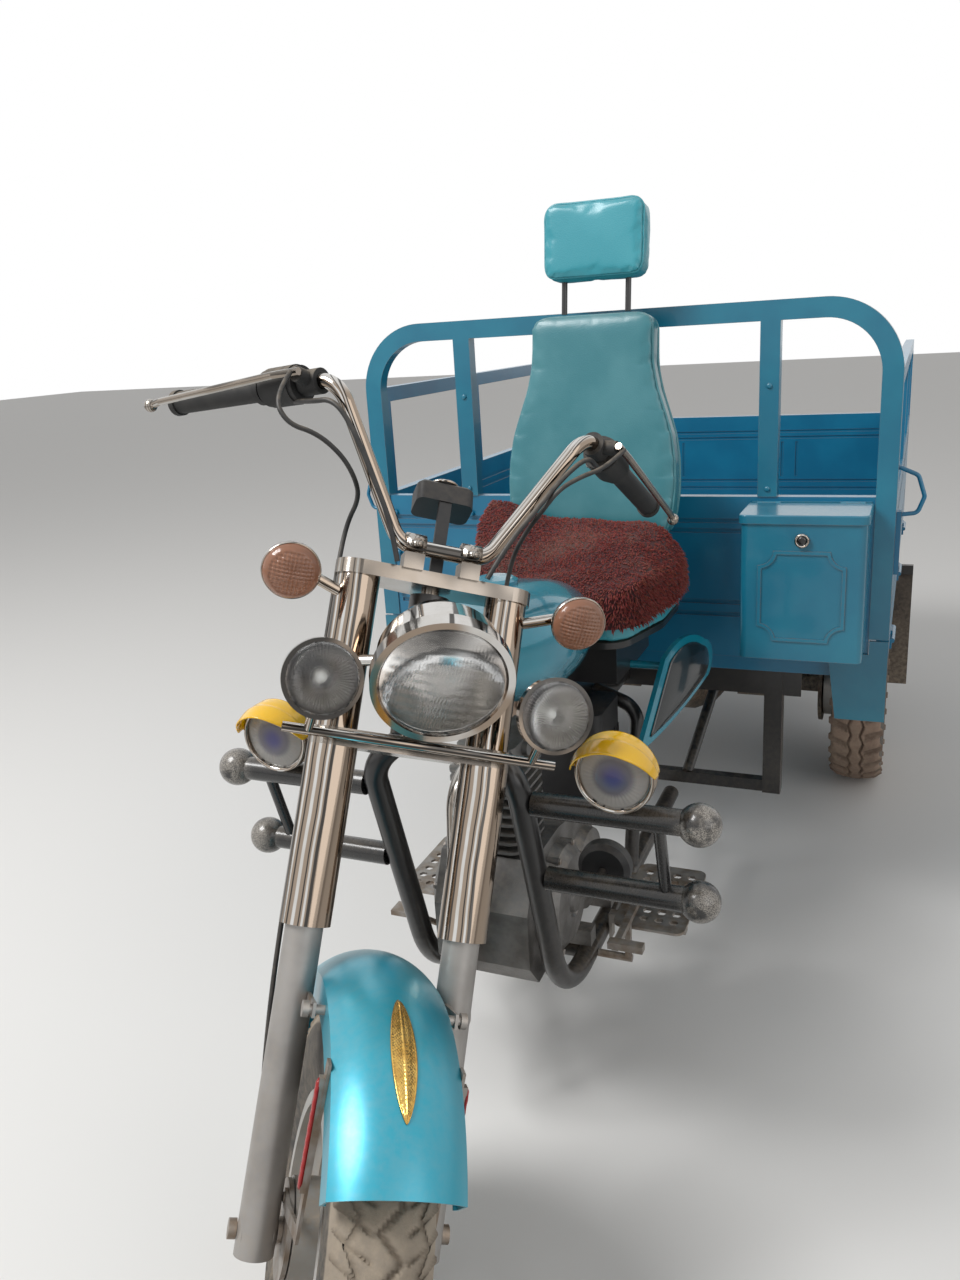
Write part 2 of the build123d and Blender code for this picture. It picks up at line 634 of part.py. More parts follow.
def engine():
    """Upright single: crankcase, bolted round covers, finned cylinder and head, carburettor, mounts."""
    y_mid = (ENGINE_Y0 + ENGINE_Y1) / 2
    case = [
        (ENGINE_Y0 + 40, ENGINE_FOOT),
        (ENGINE_Y1, ENGINE_FOOT),
        (ENGINE_Y1, 420),
        (ENGINE_Y1 - 60, 500),
        (CYLINDER_Y + 70, 530),
        (CYLINDER_Y - 62, 530),
        (ENGINE_Y0, 450),
        (ENGINE_Y0, 350),
    ]
    body = plate_yz(case, -84, 84)
    for side in (-1, 1):
        cover = [(0, 0), (0, 100), (20, 95), (34, 78), (38, 52), (38, 34), (34, 31), (34, 25), (42, 23), (42, 0)]
        body += turned(cover, (side * 83, y_mid - 48, 412), (side, 0, 0))
        for i in range(8):
            angle = math.radians(22.5 + 45 * i)
            y = y_mid - 48 + 96 * math.cos(angle)
            z = 412 + 96 * math.sin(angle)
            body += rod((side * 80, y, z), (side * 106, y, z), 13)
        small = [(0, 0), (0, 82), (18, 76), (30, 50), (30, 0)]
        body += turned(small, (side * 83, y_mid + 105, 385), (side, 0, 0))
    barrel = Pos(0, CYLINDER_Y, 520) * extrude(Circle(46), 190)
    for i in range(FIN_COUNT):
        fin = Pos(0, CYLINDER_Y, 538 + i * FIN_PITCH) * extrude(RectangleRounded(134, 134, 30), 5)
        barrel += fin
    head_z = 538 + FIN_COUNT * FIN_PITCH
    barrel += Pos(0, CYLINDER_Y, head_z) * extrude(RectangleRounded(104, 112, 22), 30)
    for side in (-1, 1):
        cap_x = side * 50
        barrel += rod((cap_x, CYLINDER_Y, head_z + 15), (cap_x + side * 12, CYLINDER_Y, head_z + 15), 24)
    barrel += block(-30, 30, CYLINDER_Y + 40, CARB_Y0, CARB_Z - 18, CARB_Z + 18)
    barrel += rod((0, CARB_Y0 - 2, CARB_Z), (0, CARB_Y1, CARB_Z), 50)
    mid_y = (CARB_Y0 + CARB_Y1) / 2
    barrel += block(-27, 27, mid_y - 27, mid_y + 27, CARB_Z - 30, CARB_Z + 27)
    barrel += rod((0, mid_y, CARB_Z - 29), (0, mid_y, CARB_Z - 62), 48)
    foot_top = CRADLE_Z + DOWN_TUBE_D / 2
    for y in (MOUNT_FRONT_Y, MOUNT_REAR_Y):
        body += block(-DOWN_TUBE_X - 10, DOWN_TUBE_X + 10, y - 15, y + 15, foot_top + 0.2, ENGINE_FOOT + 12)
    return body + barrel


def exhaust():
    """Header from the front of the head, down between the down tubes, and a muffler on the right."""
    header = bent_bar(
        [
            (0, CYLINDER_Y - 56.3, 706),
            (0, CYLINDER_Y - 160, 706),
            (-40, CYLINDER_Y - 128, 225),
            (-185, -560, 205),
            (-185, -300, 215),
        ],
        45,
        34,
    )
    muffler = turned(
        [(-10, 0), (-10, 18), (20, 44), (330, 44), (352, 30), (352, 0)], (-185, -320, 215), (0, 1, 0)
    )
    return header + muffler


def frame_main():
    """Head tube, backbone, two down tubes that run back as the cradle, and the posts under the bed."""
    head = head_plane.location * Pos(0, 0, HEAD_TUBE_S[0]) * extrude(
        Circle(HEAD_TUBE_D / 2), HEAD_TUBE_S[1] - HEAD_TUBE_S[0]
    )
    frame = head
    tail_end = (0, 45, BACKBONE_TAIL[1])
    frame += bent_bar(
        [(0, *BACKBONE_FRONT), (0, *BACKBONE_KNEE), (0, *BACKBONE_TAIL), tail_end], 120, BACKBONE_D
    )
    for side in (-1, 1):
        x = side * DOWN_TUBE_X
        frame += bent_bar(
            [
                (side * 12, DOWN_TOP_Y + 47, DOWN_TOP_Z + 93),
                (x, DOWN_TOP_Y, DOWN_TOP_Z),
                (x, DOWN_KNEE_Y, CRADLE_Z),
                (x, 58, CRADLE_Z),
            ],
            [60, 170],
            DOWN_TUBE_D,
        )
        bend_z = backbone_z(STRUT_Y) - 36
        frame += bent_bar(
            [(x, STRUT_Y - 80, CRADLE_Z), (x, STRUT_Y, bend_z), (x * 0.2, STRUT_Y, bend_z + 36)], 50, 30
        )
        post_x = side * POST_FOOT_X
        frame += block(post_x - 20, post_x + 20, 38, 78, 300, RAIL_TOP_Z)
        frame += rod((side * 160, 58, 322), (side * RAIL_X, 320, RAIL_FOOT_Z - 16), 26)
    frame += block(-POST_FOOT_X - 20, POST_FOOT_X + 20, 45, 71, 300, 328)
    frame += block(-POST_FOOT_X - 60, POST_FOOT_X + 60, 42, 48, RAIL_TOP_Z - 60, RAIL_TOP_Z)
    for y in (MOUNT_FRONT_Y, STRUT_Y - 80):
        frame += rod((-DOWN_TUBE_X, y, CRADLE_Z), (DOWN_TUBE_X, y, CRADLE_Z), 30)
    frame -= head_plane.location * Pos(0, 0, HEAD_TUBE_S[0] - 5) * extrude(
        Circle(STEM_D / 2 + RUNNING_GAP), HEAD_TUBE_S[1] - HEAD_TUBE_S[0] + 10
    )
    return frame


POST_FOOT_X = 360.0
STEM_D = 26.0


def down_tube_y(z):
    """Where the middle of a down tube lies at a height, on its straight stretch."""
    return DOWN_TOP_Y + (DOWN_TOP_Z - z) * (DOWN_KNEE_Y - DOWN_TOP_Y) / (DOWN_TOP_Z - CRADLE_Z)


def crash_bar():
    """On each side two round bars with ball ends, joined by a strap, fixed beside the down tube."""
    inner = DOWN_TUBE_X + DOWN_TUBE_D / 2 + RUNNING_GAP
    upper_y = down_tube_y(CRASH_UPPER_Z)
    lower_y = down_tube_y(CRASH_LOWER_Z)
    bar = rod((inner, upper_y, CRASH_UPPER_Z), (CRASH_HALF, upper_y, CRASH_UPPER_Z), CRASH_D)
    bar += rod((inner, lower_y, CRASH_LOWER_Z), (CRASH_HALF - 8, lower_y, CRASH_LOWER_Z), CRASH_D)
    bar += Pos(CRASH_HALF, upper_y, CRASH_UPPER_Z) * Sphere(CRASH_BALL_D / 2)
    bar += Pos(CRASH_HALF - 8, lower_y, CRASH_LOWER_Z) * Sphere(CRASH_BALL_D / 2)
    bar += rod((325, upper_y, CRASH_UPPER_Z), (325, lower_y, CRASH_LOWER_Z), 18)
    return both_sides(bar)


def fog_lamps():
    """Two round lamps on stubs that stand on the crash bar."""
    y = down_tube_y(CRASH_UPPER_Z)
    z = CRASH_UPPER_Z + CRASH_D / 2 + FOG_D / 2 + 2
    r = FOG_D / 2
    outside = [(4, r - 8), (0, r - 8), (0, r - 5), (6, r), (14, r), (20, r - 5), (48, r * 0.72), (66, r * 0.3), (66, 0)]
    bowl = lamp_body(outside, r - 8, 44, 7, (FOG_X, y - 38, z), (0, 1, 0))
    bowl += rod((FOG_X, y, z - 33), (FOG_X, y, CRASH_UPPER_Z + CRASH_D / 2 + RUNNING_GAP), 14)
    return both_sides(bowl)


def fog_lenses():
    """Domed glass of the two fog lamps."""
    y = down_tube_y(CRASH_UPPER_Z)
    z = CRASH_UPPER_Z + CRASH_D / 2 + FOG_D / 2 + 2
    r = FOG_D / 2 - 8 - RUNNING_GAP
    dome = turned([(3.7, 0), (3.7, r), (0, r), (-5, r * 0.65), (-7, 0)], (FOG_X, y - 38, z), (0, 1, 0))
    return both_sides(dome)


def fog_visors():
    """Peaked translucent hoods over the upper half of each fog lamp."""
    y = down_tube_y(CRASH_UPPER_Z)
    z = CRASH_UPPER_Z + CRASH_D / 2 + FOG_D / 2 + 2
    r = FOG_D / 2 + RUNNING_GAP
    shell = turned([(-32, r + 1), (-28, r + 3), (14, r + 3), (14, r), (-32, r)], (FOG_X, y - 38, z), (0, 1, 0))
    shell -= block(FOG_X - 90, FOG_X + 90, y - 110, y + 40, z - 90, z + 4)
    return both_sides(shell)


def horn():
    """Round horn behind the left crash bar loop, on a bracket from the down tube."""
    y = down_tube_y(CRASH_LOWER_Z) + 42
    disc = turned([(0, 0), (0, 34), (8, 42), (26, 42), (34, 30), (34, 0)], (215, y, 560), (0, 1, 0))
    disc += rod((215, y + 1, CRASH_LOWER_Z), (215, y - 42 + CRASH_D / 2 + 0.2, CRASH_LOWER_Z), 14)
    return disc


def fuel_tank():
    """Teardrop tank over the backbone, lofted through four rounded sections, with its filler cap."""
    # columns: y, middle height, width, height, corner radius
    table = (
        (PIVOT_Y + 87.8, PIVOT_Z + 8, 104, 92, 40),
        (PIVOT_Y + 172.8, PIVOT_Z - 5, 216, 150, 66),
        (SEAT_Y0 - 194, PIVOT_Z - 22, 272, 182, 84),
        (SEAT_Y0 - 29, PIVOT_Z - 48, 188, 112, 50),
    )
    sections = []
    for y, z, width, height, corner in table:
        level = Plane(origin=(0, y, z), z_dir=(0, 1, 0), x_dir=(1, 0, 0))
        sections.append(level * RectangleRounded(width, height, corner))
    tank = loft(sections)
    gap = BACKBONE_D / 2 + 8
    front, knee = BACKBONE_FRONT, BACKBONE_KNEE
    slope = math.atan2(front[1] - knee[1], knee[0] - front[0])
    roof = (BACKBONE_D / 2 + RUNNING_GAP) / math.cos(slope)
    rear_y = knee[0] + 160
    floor_z = backbone_z(rear_y) - 10
    tunnel = [
        (front[0], floor_z),
        (front[0], front[1] + roof),
        (knee[0], knee[1] + roof),
        (rear_y, backbone_z(rear_y) + 3 + roof),
        (rear_y, floor_z),
    ]
    tank -= plate_yz(tunnel, -gap, gap)
    cap = [(-10, 0), (-10, 34), (6, 34), (8, 37), (14, 37), (18, 30), (20, 0)]
    tank += turned(cap, (0, SEAT_Y0 - 254, PIVOT_Z + 68), (0, 0, 1))
    return tank


BOX_FRONT_Y = -420.0
CARB_Y0 = CYLINDER_Y + 95
CARB_Y1 = -566.0
CARB_Z = 668.0


def air_box():
    """Moulded and ribbed box under the saddle, with the rubber boot to the carburettor."""
    box = fillet(block(-88, 88, BOX_FRONT_Y, -275, 440, SEAT_FOOT - 155).edges().filter_by(Axis.Z), 18)
    box -= backbone_rear(2 * RUNNING_GAP)
    for i in range(5):
        rib = block(-89.5, 89.5, -398 + 25 * i, -390 + 25 * i, 470, 580)
        box += rib
    start = (0, CARB_Y1 + RUNNING_GAP, CARB_Z)
    boot = bent_bar([start, (0, CARB_Y1 + 32, CARB_Z), (0, BOX_FRONT_Y - 58, 612), (0, BOX_FRONT_Y + 2, 612)], 26, 46)
    return box + boot




def seat_frame():
    """Pan under the cushion on a pedestal, two uprights behind the backrest, headrest posts."""
    pan = Pos(0, 0, SEAT_FOOT - 12) * extrude(saddle_plan(-15, SEAT_Y1), 12)
    pan += block(-120, 120, SEAT_Y0 + 40, SEAT_Y1 - 20, SEAT_FOOT - 90, SEAT_FOOT - 10)
    pan -= backbone_rear(1)
    lean = math.radians(LEAN)
    for x in (-120, 120):
        foot = (x, BACK_FOOT_Y + 9.0, SEAT_FOOT - 10)
        height = 420
        top = (x, foot[1] + height * math.tan(lean), foot[2] + height)
        pan += rod((x, SEAT_Y1 - 20, SEAT_FOOT - 10), foot, 20)
        pan += rod(foot, top, 20)
    return pan




def lean_plane(z):
    """Plane of the leaning backrest's rear face at a height: x left, y up along it."""
    lean = math.radians(LEAN)
    y = BACK_FOOT_Y + (z - SEAT_FOOT) * math.tan(lean)
    return Plane(origin=(0, y, z), x_dir=(1, 0, 0), z_dir=(0, -math.cos(lean), math.sin(lean)))


def backrest():
    """Backrest pad, narrow at the top and flaring to full width below its waist."""
    height = (BACK_TOP - BACK_FOOT) / math.cos(math.radians(LEAN))
    outline = [
        (-182, 0),
        (182, 0),
        (186, height * 0.46),
        (152, height * 0.70),
        (138, height * 0.80),
        (134, height),
        (-134, height),
        (-138, height * 0.80),
        (-152, height * 0.70),
        (-186, height * 0.46),
    ]
    pad_face = make_face(Polyline(*outline, close=True))
    pad_face = fillet(pad_face.vertices().group_by(Axis.Y)[-1], 26)
    return lean_plane(BACK_FOOT).location * extrude(pad_face, BACK_THICK)




def headrest():
    """Headrest pad above the backrest."""
    height = HEAD_Z1 - HEAD_Z0
    pad = extrude(RectangleRounded(216, height, 26), 66)
    return lean_plane((HEAD_Z0 + HEAD_Z1) / 2).location * pad


def headrest_posts():
    """Two thin posts from the backrest up into the headrest."""
    posts = []
    for x in (-68, 68):
        start = lean_plane(BACK_TOP + RUNNING_GAP).location * Pos(x, 0, 33)
        end = lean_plane(HEAD_Z0 + 0.4).location * Pos(x, 0, 33)
        posts.append(rod(tuple(start.position), tuple(end.position), 12))
    return Compound(children=posts)


def saddle_plan(extra, rear_y):
    """The saddle from above, grown all round: a narrow rounded nose widening to the full seat."""
    nose = NOSE_HALF + extra
    half = SEAT_HALF + extra
    front = SEAT_Y0 - extra
    shoulder = SEAT_Y0 + 175
    corners = [(nose, front), (half, shoulder), (half, rear_y)]
    mirrored = [(-x, y) for x, y in reversed(corners)]
    face = make_face(Polyline(*corners, *mirrored, close=True))
    face = fillet(face.vertices().group_by(Axis.Y)[0], 66 + extra)
    return fillet([v for v in face.vertices() if abs(v.Y - shoulder) < 0.01], 140)


def domed(half, low, shoulder, crown, y0, y1):
    """A body along Y with an arched top: shoulder height at its sides and crown height in the middle."""
    arch = ThreePointArc((-half, shoulder), (0, crown), (half, shoulder))
    sides = Polyline((half, shoulder), (half, low), (-half, low), (-half, shoulder))
    face = make_face([arch, *sides.edges()])
    return Pos(0, y1, 0) * extrude(Plane.XZ * face, y1 - y0)


def seat_cushion():
    """Saddle cushion: rounded nose, and a top that climbs to a crest in front of the backrest."""
    side = [
        (SEAT_Y0, SEAT_FOOT),
        (SEAT_Y0, SEAT_TOP - 20),
        (SEAT_Y0 + 34, SEAT_TOP),
        (CREST_Y, SEAT_TOP + SEAT_RISE),
        (CREST_Y + 6, SEAT_TOP + 36),
        (SEAT_Y1, SEAT_TOP + 36),
        (SEAT_Y1, SEAT_FOOT),
    ]
    body = Pos(0, 0, SEAT_FOOT - 1) * extrude(saddle_plan(0, SEAT_Y1), CUSHION_THICK + SEAT_RISE + 20)
    body = body & plate_yz(side, -SEAT_HALF - 50, SEAT_HALF + 50)
    return body & domed(SEAT_HALF, SEAT_FOOT, SEAT_TOP - 14, SEAT_TOP + SEAT_RISE + 2, SEAT_Y0, SEAT_Y1)


def seat_rug():
    """Thick pile rug over the saddle, heaped before the backrest, its hem below the cushion's edge."""
    gap = 0.5
    front = SEAT_Y0 - RUG_HEM
    rear = CREST_Y + 3
    crest = SEAT_TOP + SEAT_RISE + RUG_RISE
    side = [
        (front, SEAT_TOP - 70),
        (front, SEAT_TOP - 4),
        (front + 12, SEAT_TOP + 14),
        (front + 36, SEAT_TOP + 26),
        ((front + rear) / 2, SEAT_TOP + SEAT_RISE + 4),
        (rear - 34, crest - 6),
        (rear - 8, crest),
        (rear, crest - 10),
        (rear, SEAT_TOP - 46),
    ]
    hollow_side = [
        (SEAT_Y0 - gap, SEAT_FOOT - 95),
        (SEAT_Y0 - gap, SEAT_TOP - 20 + gap),
        (SEAT_Y0 + 34, SEAT_TOP + gap),
        (CREST_Y, SEAT_TOP + SEAT_RISE + gap),
        (CREST_Y + 6 + gap, SEAT_TOP + 36 + gap),
        (SEAT_Y1 + 20, SEAT_TOP + 36 + gap),
        (SEAT_Y1 + 20, SEAT_FOOT - 95),
    ]
    wide = SEAT_HALF + 50
    low = SEAT_FOOT - 100
    plan = Pos(0, 0, low) * extrude(saddle_plan(RUG_HEM, SEAT_Y1 - 2), crest + 10 - low)
    outer = plan & plate_yz(side, -wide, wide)
    outer = outer & domed(SEAT_HALF + RUG_HEM, low, SEAT_TOP - 4, crest + 2, front, SEAT_Y1)
    plan = Pos(0, 0, low) * extrude(saddle_plan(gap, SEAT_Y1 + 20), crest + 10 - low)
    inner = plan & plate_yz(hollow_side, -wide, wide)
    shoulder = SEAT_TOP - 14 + gap
    inner = inner & domed(SEAT_HALF + gap, low, shoulder, SEAT_TOP + SEAT_RISE + 2 + gap, front, SEAT_Y1 + 20)
    return outer - inner


def side_covers():
    """Teardrop side panels under the saddle, flared outward to the rear."""
    z = SEAT_FOOT
    outline = make_face(
        [
            Line((-425, z - 220), (-318, z - 60)),
            ThreePointArc((-318, z - 60), (-220, z - 38), (-142, z - 66)),
            ThreePointArc((-142, z - 66), (-106, z - 105), (-125, z - 150)),
            ThreePointArc((-125, z - 150), (-270, z - 195), (-425, z - 220)),
        ]
    )
    panel = extrude(Plane.YZ * outline, 10)
    panel = Pos(160, -420, 0) * Rot(Z=-15) * Pos(0, 420, 0) * panel
    panel += rod((120.2, -300, z - 82), (196, -300, z - 82), 16)
    return both_sides(panel)


def footplates():
    """Perforated plates beside the engine on arms from the cradle."""
    inner = DOWN_TUBE_X + RUNNING_GAP + DOWN_TUBE_D / 2
    x = inner + 82.7
    y = -487.0
    z = CRADLE_Z + DOWN_TUBE_D
    plate = Pos(x, y, z) * extrude(RectangleRounded(134, 236, 18), 5)
    for i in range(4):
        for j in range(7):
            plate -= Pos(x - 42 + 28 * i, y - 84 + 28 * j, z - 10) * extrude(RegularPolygon(9, 6), 30)
    for arm_y in (y - 73, y + 72):
        plate += block(inner, x + 64, arm_y - 9, arm_y + 9, z - 18, z + 1)
        plate += block(inner, inner + 6, arm_y - 9, arm_y + 9, CRADLE_Z - 12, z + 1)
    return both_sides(plate)


def foot_controls():
    """Brake pedal on the right and gear lever on the left, each on its pivot."""
    inner = DOWN_TUBE_X + DOWN_TUBE_D / 2 + RUNNING_GAP
    y = MOUNT_FRONT_Y
    z = CRADLE_Z + 78
    pedal = bent_bar(
        [(-inner, y, CRADLE_Z), (-inner - 51, y, CRADLE_Z), (-inner - 61, y - 80, z - 10)], 20, 12
    )
    pedal += block(-inner - 96, -inner - 46, y - 100, y - 66, z - 8, z + 2)
    x = inner + 57
    lever = rod((inner, y, CRADLE_Z), (x + 7, y, CRADLE_Z), 14)
    lever += block(x - 5, x + 5, y - 6, y + 6, CRADLE_Z, z)
    lever += block(x - 6, x + 6, y - 90, y + 90, z - 6, z + 6)
    for rest_y in (y - 86, y + 86):
        lever += block(x - 12, x + 50, rest_y - 9, rest_y + 9, z - 1, z + 12)
    return Compound(children=[pedal, lever])


def tool_box():
    """Sheet steel box on the front board, open at the top, with a raised frame on its front face."""
    y1 = 3.0
    y0 = y1 - BOX_DEPTH
    box = block(BOX_X0, BOX_X1, y0, y1, BOX_Z0, BOX_Z1)
    box = fillet(box.edges().filter_by(Axis.Z).group_by(Axis.Y)[0], 14)
    hollow = block(BOX_X0 + SHEET, BOX_X1 - SHEET, y0 + SHEET, y1 - SHEET, BOX_Z0 + SHEET, BOX_Z1 + 5)
    box -= fillet(hollow.edges().filter_by(Axis.Z).group_by(Axis.Y)[0], 11)
    strip_y = LID_HINGE_Y + LID_PIN_D / 2 + 0.5
    box += block(BOX_X0, BOX_X1, strip_y, y1, BOX_Z1 - 6, BOX_Z1 + 4)
    for x in LID_HINGE_X:
        for shift in (-18.3, 18.3):
            box += Pos(x + shift, LID_HINGE_Y, LID_HINGE_Z) * Rot(Y=90) * Cylinder(LID_PIN_D / 2, 12)
            box += block(x + shift - 6, x + shift + 6, LID_HINGE_Y, strip_y + 1, BOX_Z1 + 1, BOX_Z1 + 4)
    mid_x = (BOX_X0 + BOX_X1) / 2
    mid_z = (BOX_Z0 + BOX_Z1) / 2 - 14
    bead = notched_frame(BOX_X1 - BOX_X0 - 70, BOX_Z1 - BOX_Z0 - 108, 30, 7)
    box += Pos(mid_x, y0 + 1, mid_z) * Rot(X=90) * extrude(bead, 4)
    lock = [(0, 0), (0, 14), (5, 14), (7, 12), (7, 8), (4, 7), (4, 0)]
    box += turned(lock, (mid_x, y0 + 1, BOX_Z1 - 46), (0, -1, 0))
    return box


def notched_frame(width, height, notch, band):
    """A narrow frame whose corners are scooped inward by quarter circles, as a flat outline."""
    outer = Rectangle(width, height)
    inner = Rectangle(width - 2 * band, height - 2 * band)
    for x in (-width / 2, width / 2):
        for y in (-height / 2, height / 2):
            outer -= Pos(x, y) * Circle(notch)
            inner -= Pos(x, y) * Circle(notch + band)
    return outer - inner


LID_HINGE_Y = -11.0
LID_HINGE_Z = BOX_Z1 + 2.5
LID_HINGE_X = (BOX_X0 + 36, BOX_X1 - 36)
LID_PIN_D = 7.0


def tool_box_lid():
    """Lid with turned-down lips at the front and sides, hinged along its back edge."""
    gap = 1.5
    y1 = LID_HINGE_Y - LID_PIN_D / 2 - 0.5
    y0 = 3.0 - BOX_DEPTH - gap - SHEET
    x0, x1 = BOX_X0 - gap - SHEET, BOX_X1 + gap + SHEET
    lid = block(x0, x1, y0, y1, BOX_Z1 - 14, BOX_Z1 + 4)
    lid = fillet(lid.edges().filter_by(Axis.Z).group_by(Axis.Y)[0], 16)
    lid = fillet(lid.edges().group_by(Axis.Z)[-1], 3)
    hollow = block(x0 + SHEET, x1 - SHEET, y0 + SHEET, y1 + 5, BOX_Z1 - 20, BOX_Z1 + 1)
    lid -= fillet(hollow.edges().filter_by(Axis.Z).group_by(Axis.Y)[0], 13)
    for x in LID_HINGE_X:
        lid += Pos(x, LID_HINGE_Y, LID_HINGE_Z) * Rot(Y=90) * Cylinder(LID_PIN_D / 2, 24)
        lid += block(x - 12, x + 12, y1 - 1, LID_HINGE_Y, BOX_Z1 + 1, BOX_Z1 + 4)
    return lid


def skirts():
    """Painted plates below the bed's front corners, ahead of the rear tyres."""
    outline = [
        (half_bed - SKIRT_FOOT_WIDTH, SKIRT_FOOT_Z),
        (half_bed, SKIRT_FOOT_Z),
        (half_bed, HOOP_FOOT - 3),
        (half_bed - HOOP_TUBE + 2, HOOP_FOOT - 3),
        (half_bed - HOOP_TUBE + 2, SKIRT_TOP),
        (half_bed - SKIRT_TOP_WIDTH, SKIRT_TOP),
        (half_bed - SKIRT_TOP_WIDTH + 4, SKIRT_TOP - 27),
    ]
    return both_sides(plate_xz(outline, -3, 2.7))


def tail_lamps():
    """Two rear lamps under the bed's rear edge."""
    lamps = []
    for side in (-1, 1):
        x0, x1 = sorted((side * 330, side * 480))
        lamp = block(x0, x1, CROSS_Y[4] + CROSS_TUBE / 2 + 8, BED_LENGTH - 12, 530, 598)
        lamp += block(x0 + 50, x1 - 50, CROSS_Y[4] - 8, CROSS_Y[4] + CROSS_TUBE / 2 + 9, 560, RAIL_TOP_Z - RUNNING_GAP)
        lamps.append(lamp)
    return Compound(children=lamps)


def in_fork(shape):
    """Carry a piece from the straight steering frame to where the turned steering holds it."""
    return fork_plane.location * shape


def fork_point(u, v, s):
    """A point of the steering frame: u to the left, v forward across, s up along the axis."""
    return (u, -v, s)


def fork_yokes():
    """Lower and upper yoke on the steering stem, each clamping both legs."""
    parts = Pos(0, 0, YOKE_LOW[0]) * extrude(Circle(STEM_D / 2), YOKE_TOP[1] - YOKE_LOW[0])
    for low, high in (YOKE_LOW, YOKE_TOP):
        plate = Pos(0, 0, low) * extrude(
            make_hull(
                (
                    Sketch()
                    + Pos(-FORK_HALF_GAUGE, -FORK_OFFSET) * Circle(34)
                    + Pos(FORK_HALF_GAUGE, -FORK_OFFSET) * Circle(34)
                    + Pos(0, 4) * Circle(30)
                ).edges()
            ),
            high - low,
        )
        parts += plate
    for u in (-BAR_BASE_U, BAR_BASE_U):
        parts += block(u - 14, u + 14, -BAR_BASE_V - 16, -BAR_BASE_V + 16, YOKE_TOP[1] - 2, BAR_BASE_S - 11 - RUNNING_GAP)
    return in_fork(parts)


BAR_BASE_U = 40.0
BAR_BASE_V = 44.0
BAR_BASE_S = 190.0
BAR_D = 22.0
BAR_BEND = (182.0, 62.0, 398.0)
BAR_END = (396.0, -185.0, 402.0)
GRIP_D = 34.0
PERCH_SHARE = 0.14
PERCH_REACH = 34.0
LEVER_D = 11.0


def fork_covers():
    """Bright covers on the legs: between the yokes and the long shrouds below."""
    covers = []
    for u in (-FORK_HALF_GAUGE, FORK_HALF_GAUGE):
        upper = Pos(u, -FORK_OFFSET, YOKE_LOW[1]) * extrude(Circle(30), YOKE_TOP[0] - YOKE_LOW[1])
        length = YOKE_LOW[0] - COVER_FOOT_S
        shroud = Pos(u, -FORK_OFFSET, COVER_FOOT_S) * extrude(
            Circle(COVER_D / 2) - Circle(LOWER_D / 2 + 3), length
        )
        shroud += Pos(u, -FORK_OFFSET, YOKE_LOW[0] - 12) * extrude(Circle(COVER_D / 2 - 1), 12)
        covers.extend([upper, shroud])
    return in_fork(Compound(children=covers))


def fork_lowers():
    """Grey lower legs with the stanchions inside the shrouds and the axle lugs at their feet."""
    legs = []
    for u in (-FORK_HALF_GAUGE, FORK_HALF_GAUGE):
        foot = AXLE_S - 26
        leg = Pos(u, -FORK_OFFSET, foot) * extrude(Circle(LOWER_D / 2), COVER_FOOT_S + 55 - foot)
        leg += Pos(u, -FORK_OFFSET, COVER_FOOT_S + 50) * extrude(
            Circle(17), YOKE_LOW[0] - 12 - RUNNING_GAP - COVER_FOOT_S - 50
        )
        leg += Pos(u, -AXLE_OFFSET, AXLE_S) * Rot(Y=90) * Cylinder(24, 40)
        leg -= Pos(u, -AXLE_OFFSET, AXLE_S) * Rot(Y=90) * Cylinder(7.5, 60)
        legs.append(leg)
    return in_fork(Compound(children=legs))


def front_axle():
    """Axle bolt through both legs with spacers up to the wheel's hub, and the brake plate with its arm."""
    reach = FORK_HALF_GAUGE + LOWER_D / 2 + RUNNING_GAP + 10
    centre = Pos(0, -AXLE_OFFSET, AXLE_S)
    bolt = centre * Rot(Y=90) * Cylinder(7.5, 2 * reach)
    hub_half = FORK_HALF_GAUGE - LOWER_D / 2 - 14
    inner = FORK_HALF_GAUGE - LOWER_D / 2 - 0.3
    for side in (-1, 1):
        bolt += rod(
            (side * (hub_half + 0.5), -AXLE_OFFSET, AXLE_S), (side * inner, -AXLE_OFFSET, AXLE_S), 30
        )
        bolt += rod((side * reach, -AXLE_OFFSET, AXLE_S), (side * (reach - 10), -AXLE_OFFSET, AXLE_S), 24)
    bolt += rod((-hub_half - 2, -AXLE_OFFSET, AXLE_S), (-hub_half - 8, -AXLE_OFFSET, AXLE_S), 118)
    bolt += rod((-hub_half - 7, 24, AXLE_S - 24), (-hub_half - 13, 24, AXLE_S - 24), 18)
    bolt += block(-hub_half - 13, -hub_half - 9, 18, 84, AXLE_S - 30, AXLE_S - 18)
    return in_fork(bolt)


def handlebar():
    """High handlebar: two rises from the clamps, swept back to the grips."""
    points = []
    for sign in (-1, 1):
        side = [
            fork_point(sign * BAR_END[0], BAR_END[1], BAR_END[2]),
            fork_point(sign * BAR_BEND[0], BAR_BEND[1], BAR_BEND[2]),
            fork_point(sign * (BAR_BASE_U + 22), BAR_BASE_V, BAR_BASE_S),
        ]
        points += side if sign < 0 else side[::-1]
    return in_fork(bent_bar(points, [46, 40, 40, 46], BAR_D))


def bar_share(t):
    """A point on the grip stretch of the handlebar's left half, t from the bend to the end."""
    return [BAR_BEND[i] + (BAR_END[i] - BAR_BEND[i]) * t for i in range(3)]


def beside_bar(sign, share, out, drop):
    """A point ahead of and outside the bar at a share of the grip stretch; sign picks the half."""
    u, v, s = bar_share(share)
    du, dv = BAR_END[0] - BAR_BEND[0], BAR_END[1] - BAR_BEND[1]
    length = math.hypot(du, dv)
    return fork_point(sign * (u - out * dv / length), v + out * du / length, s - drop)


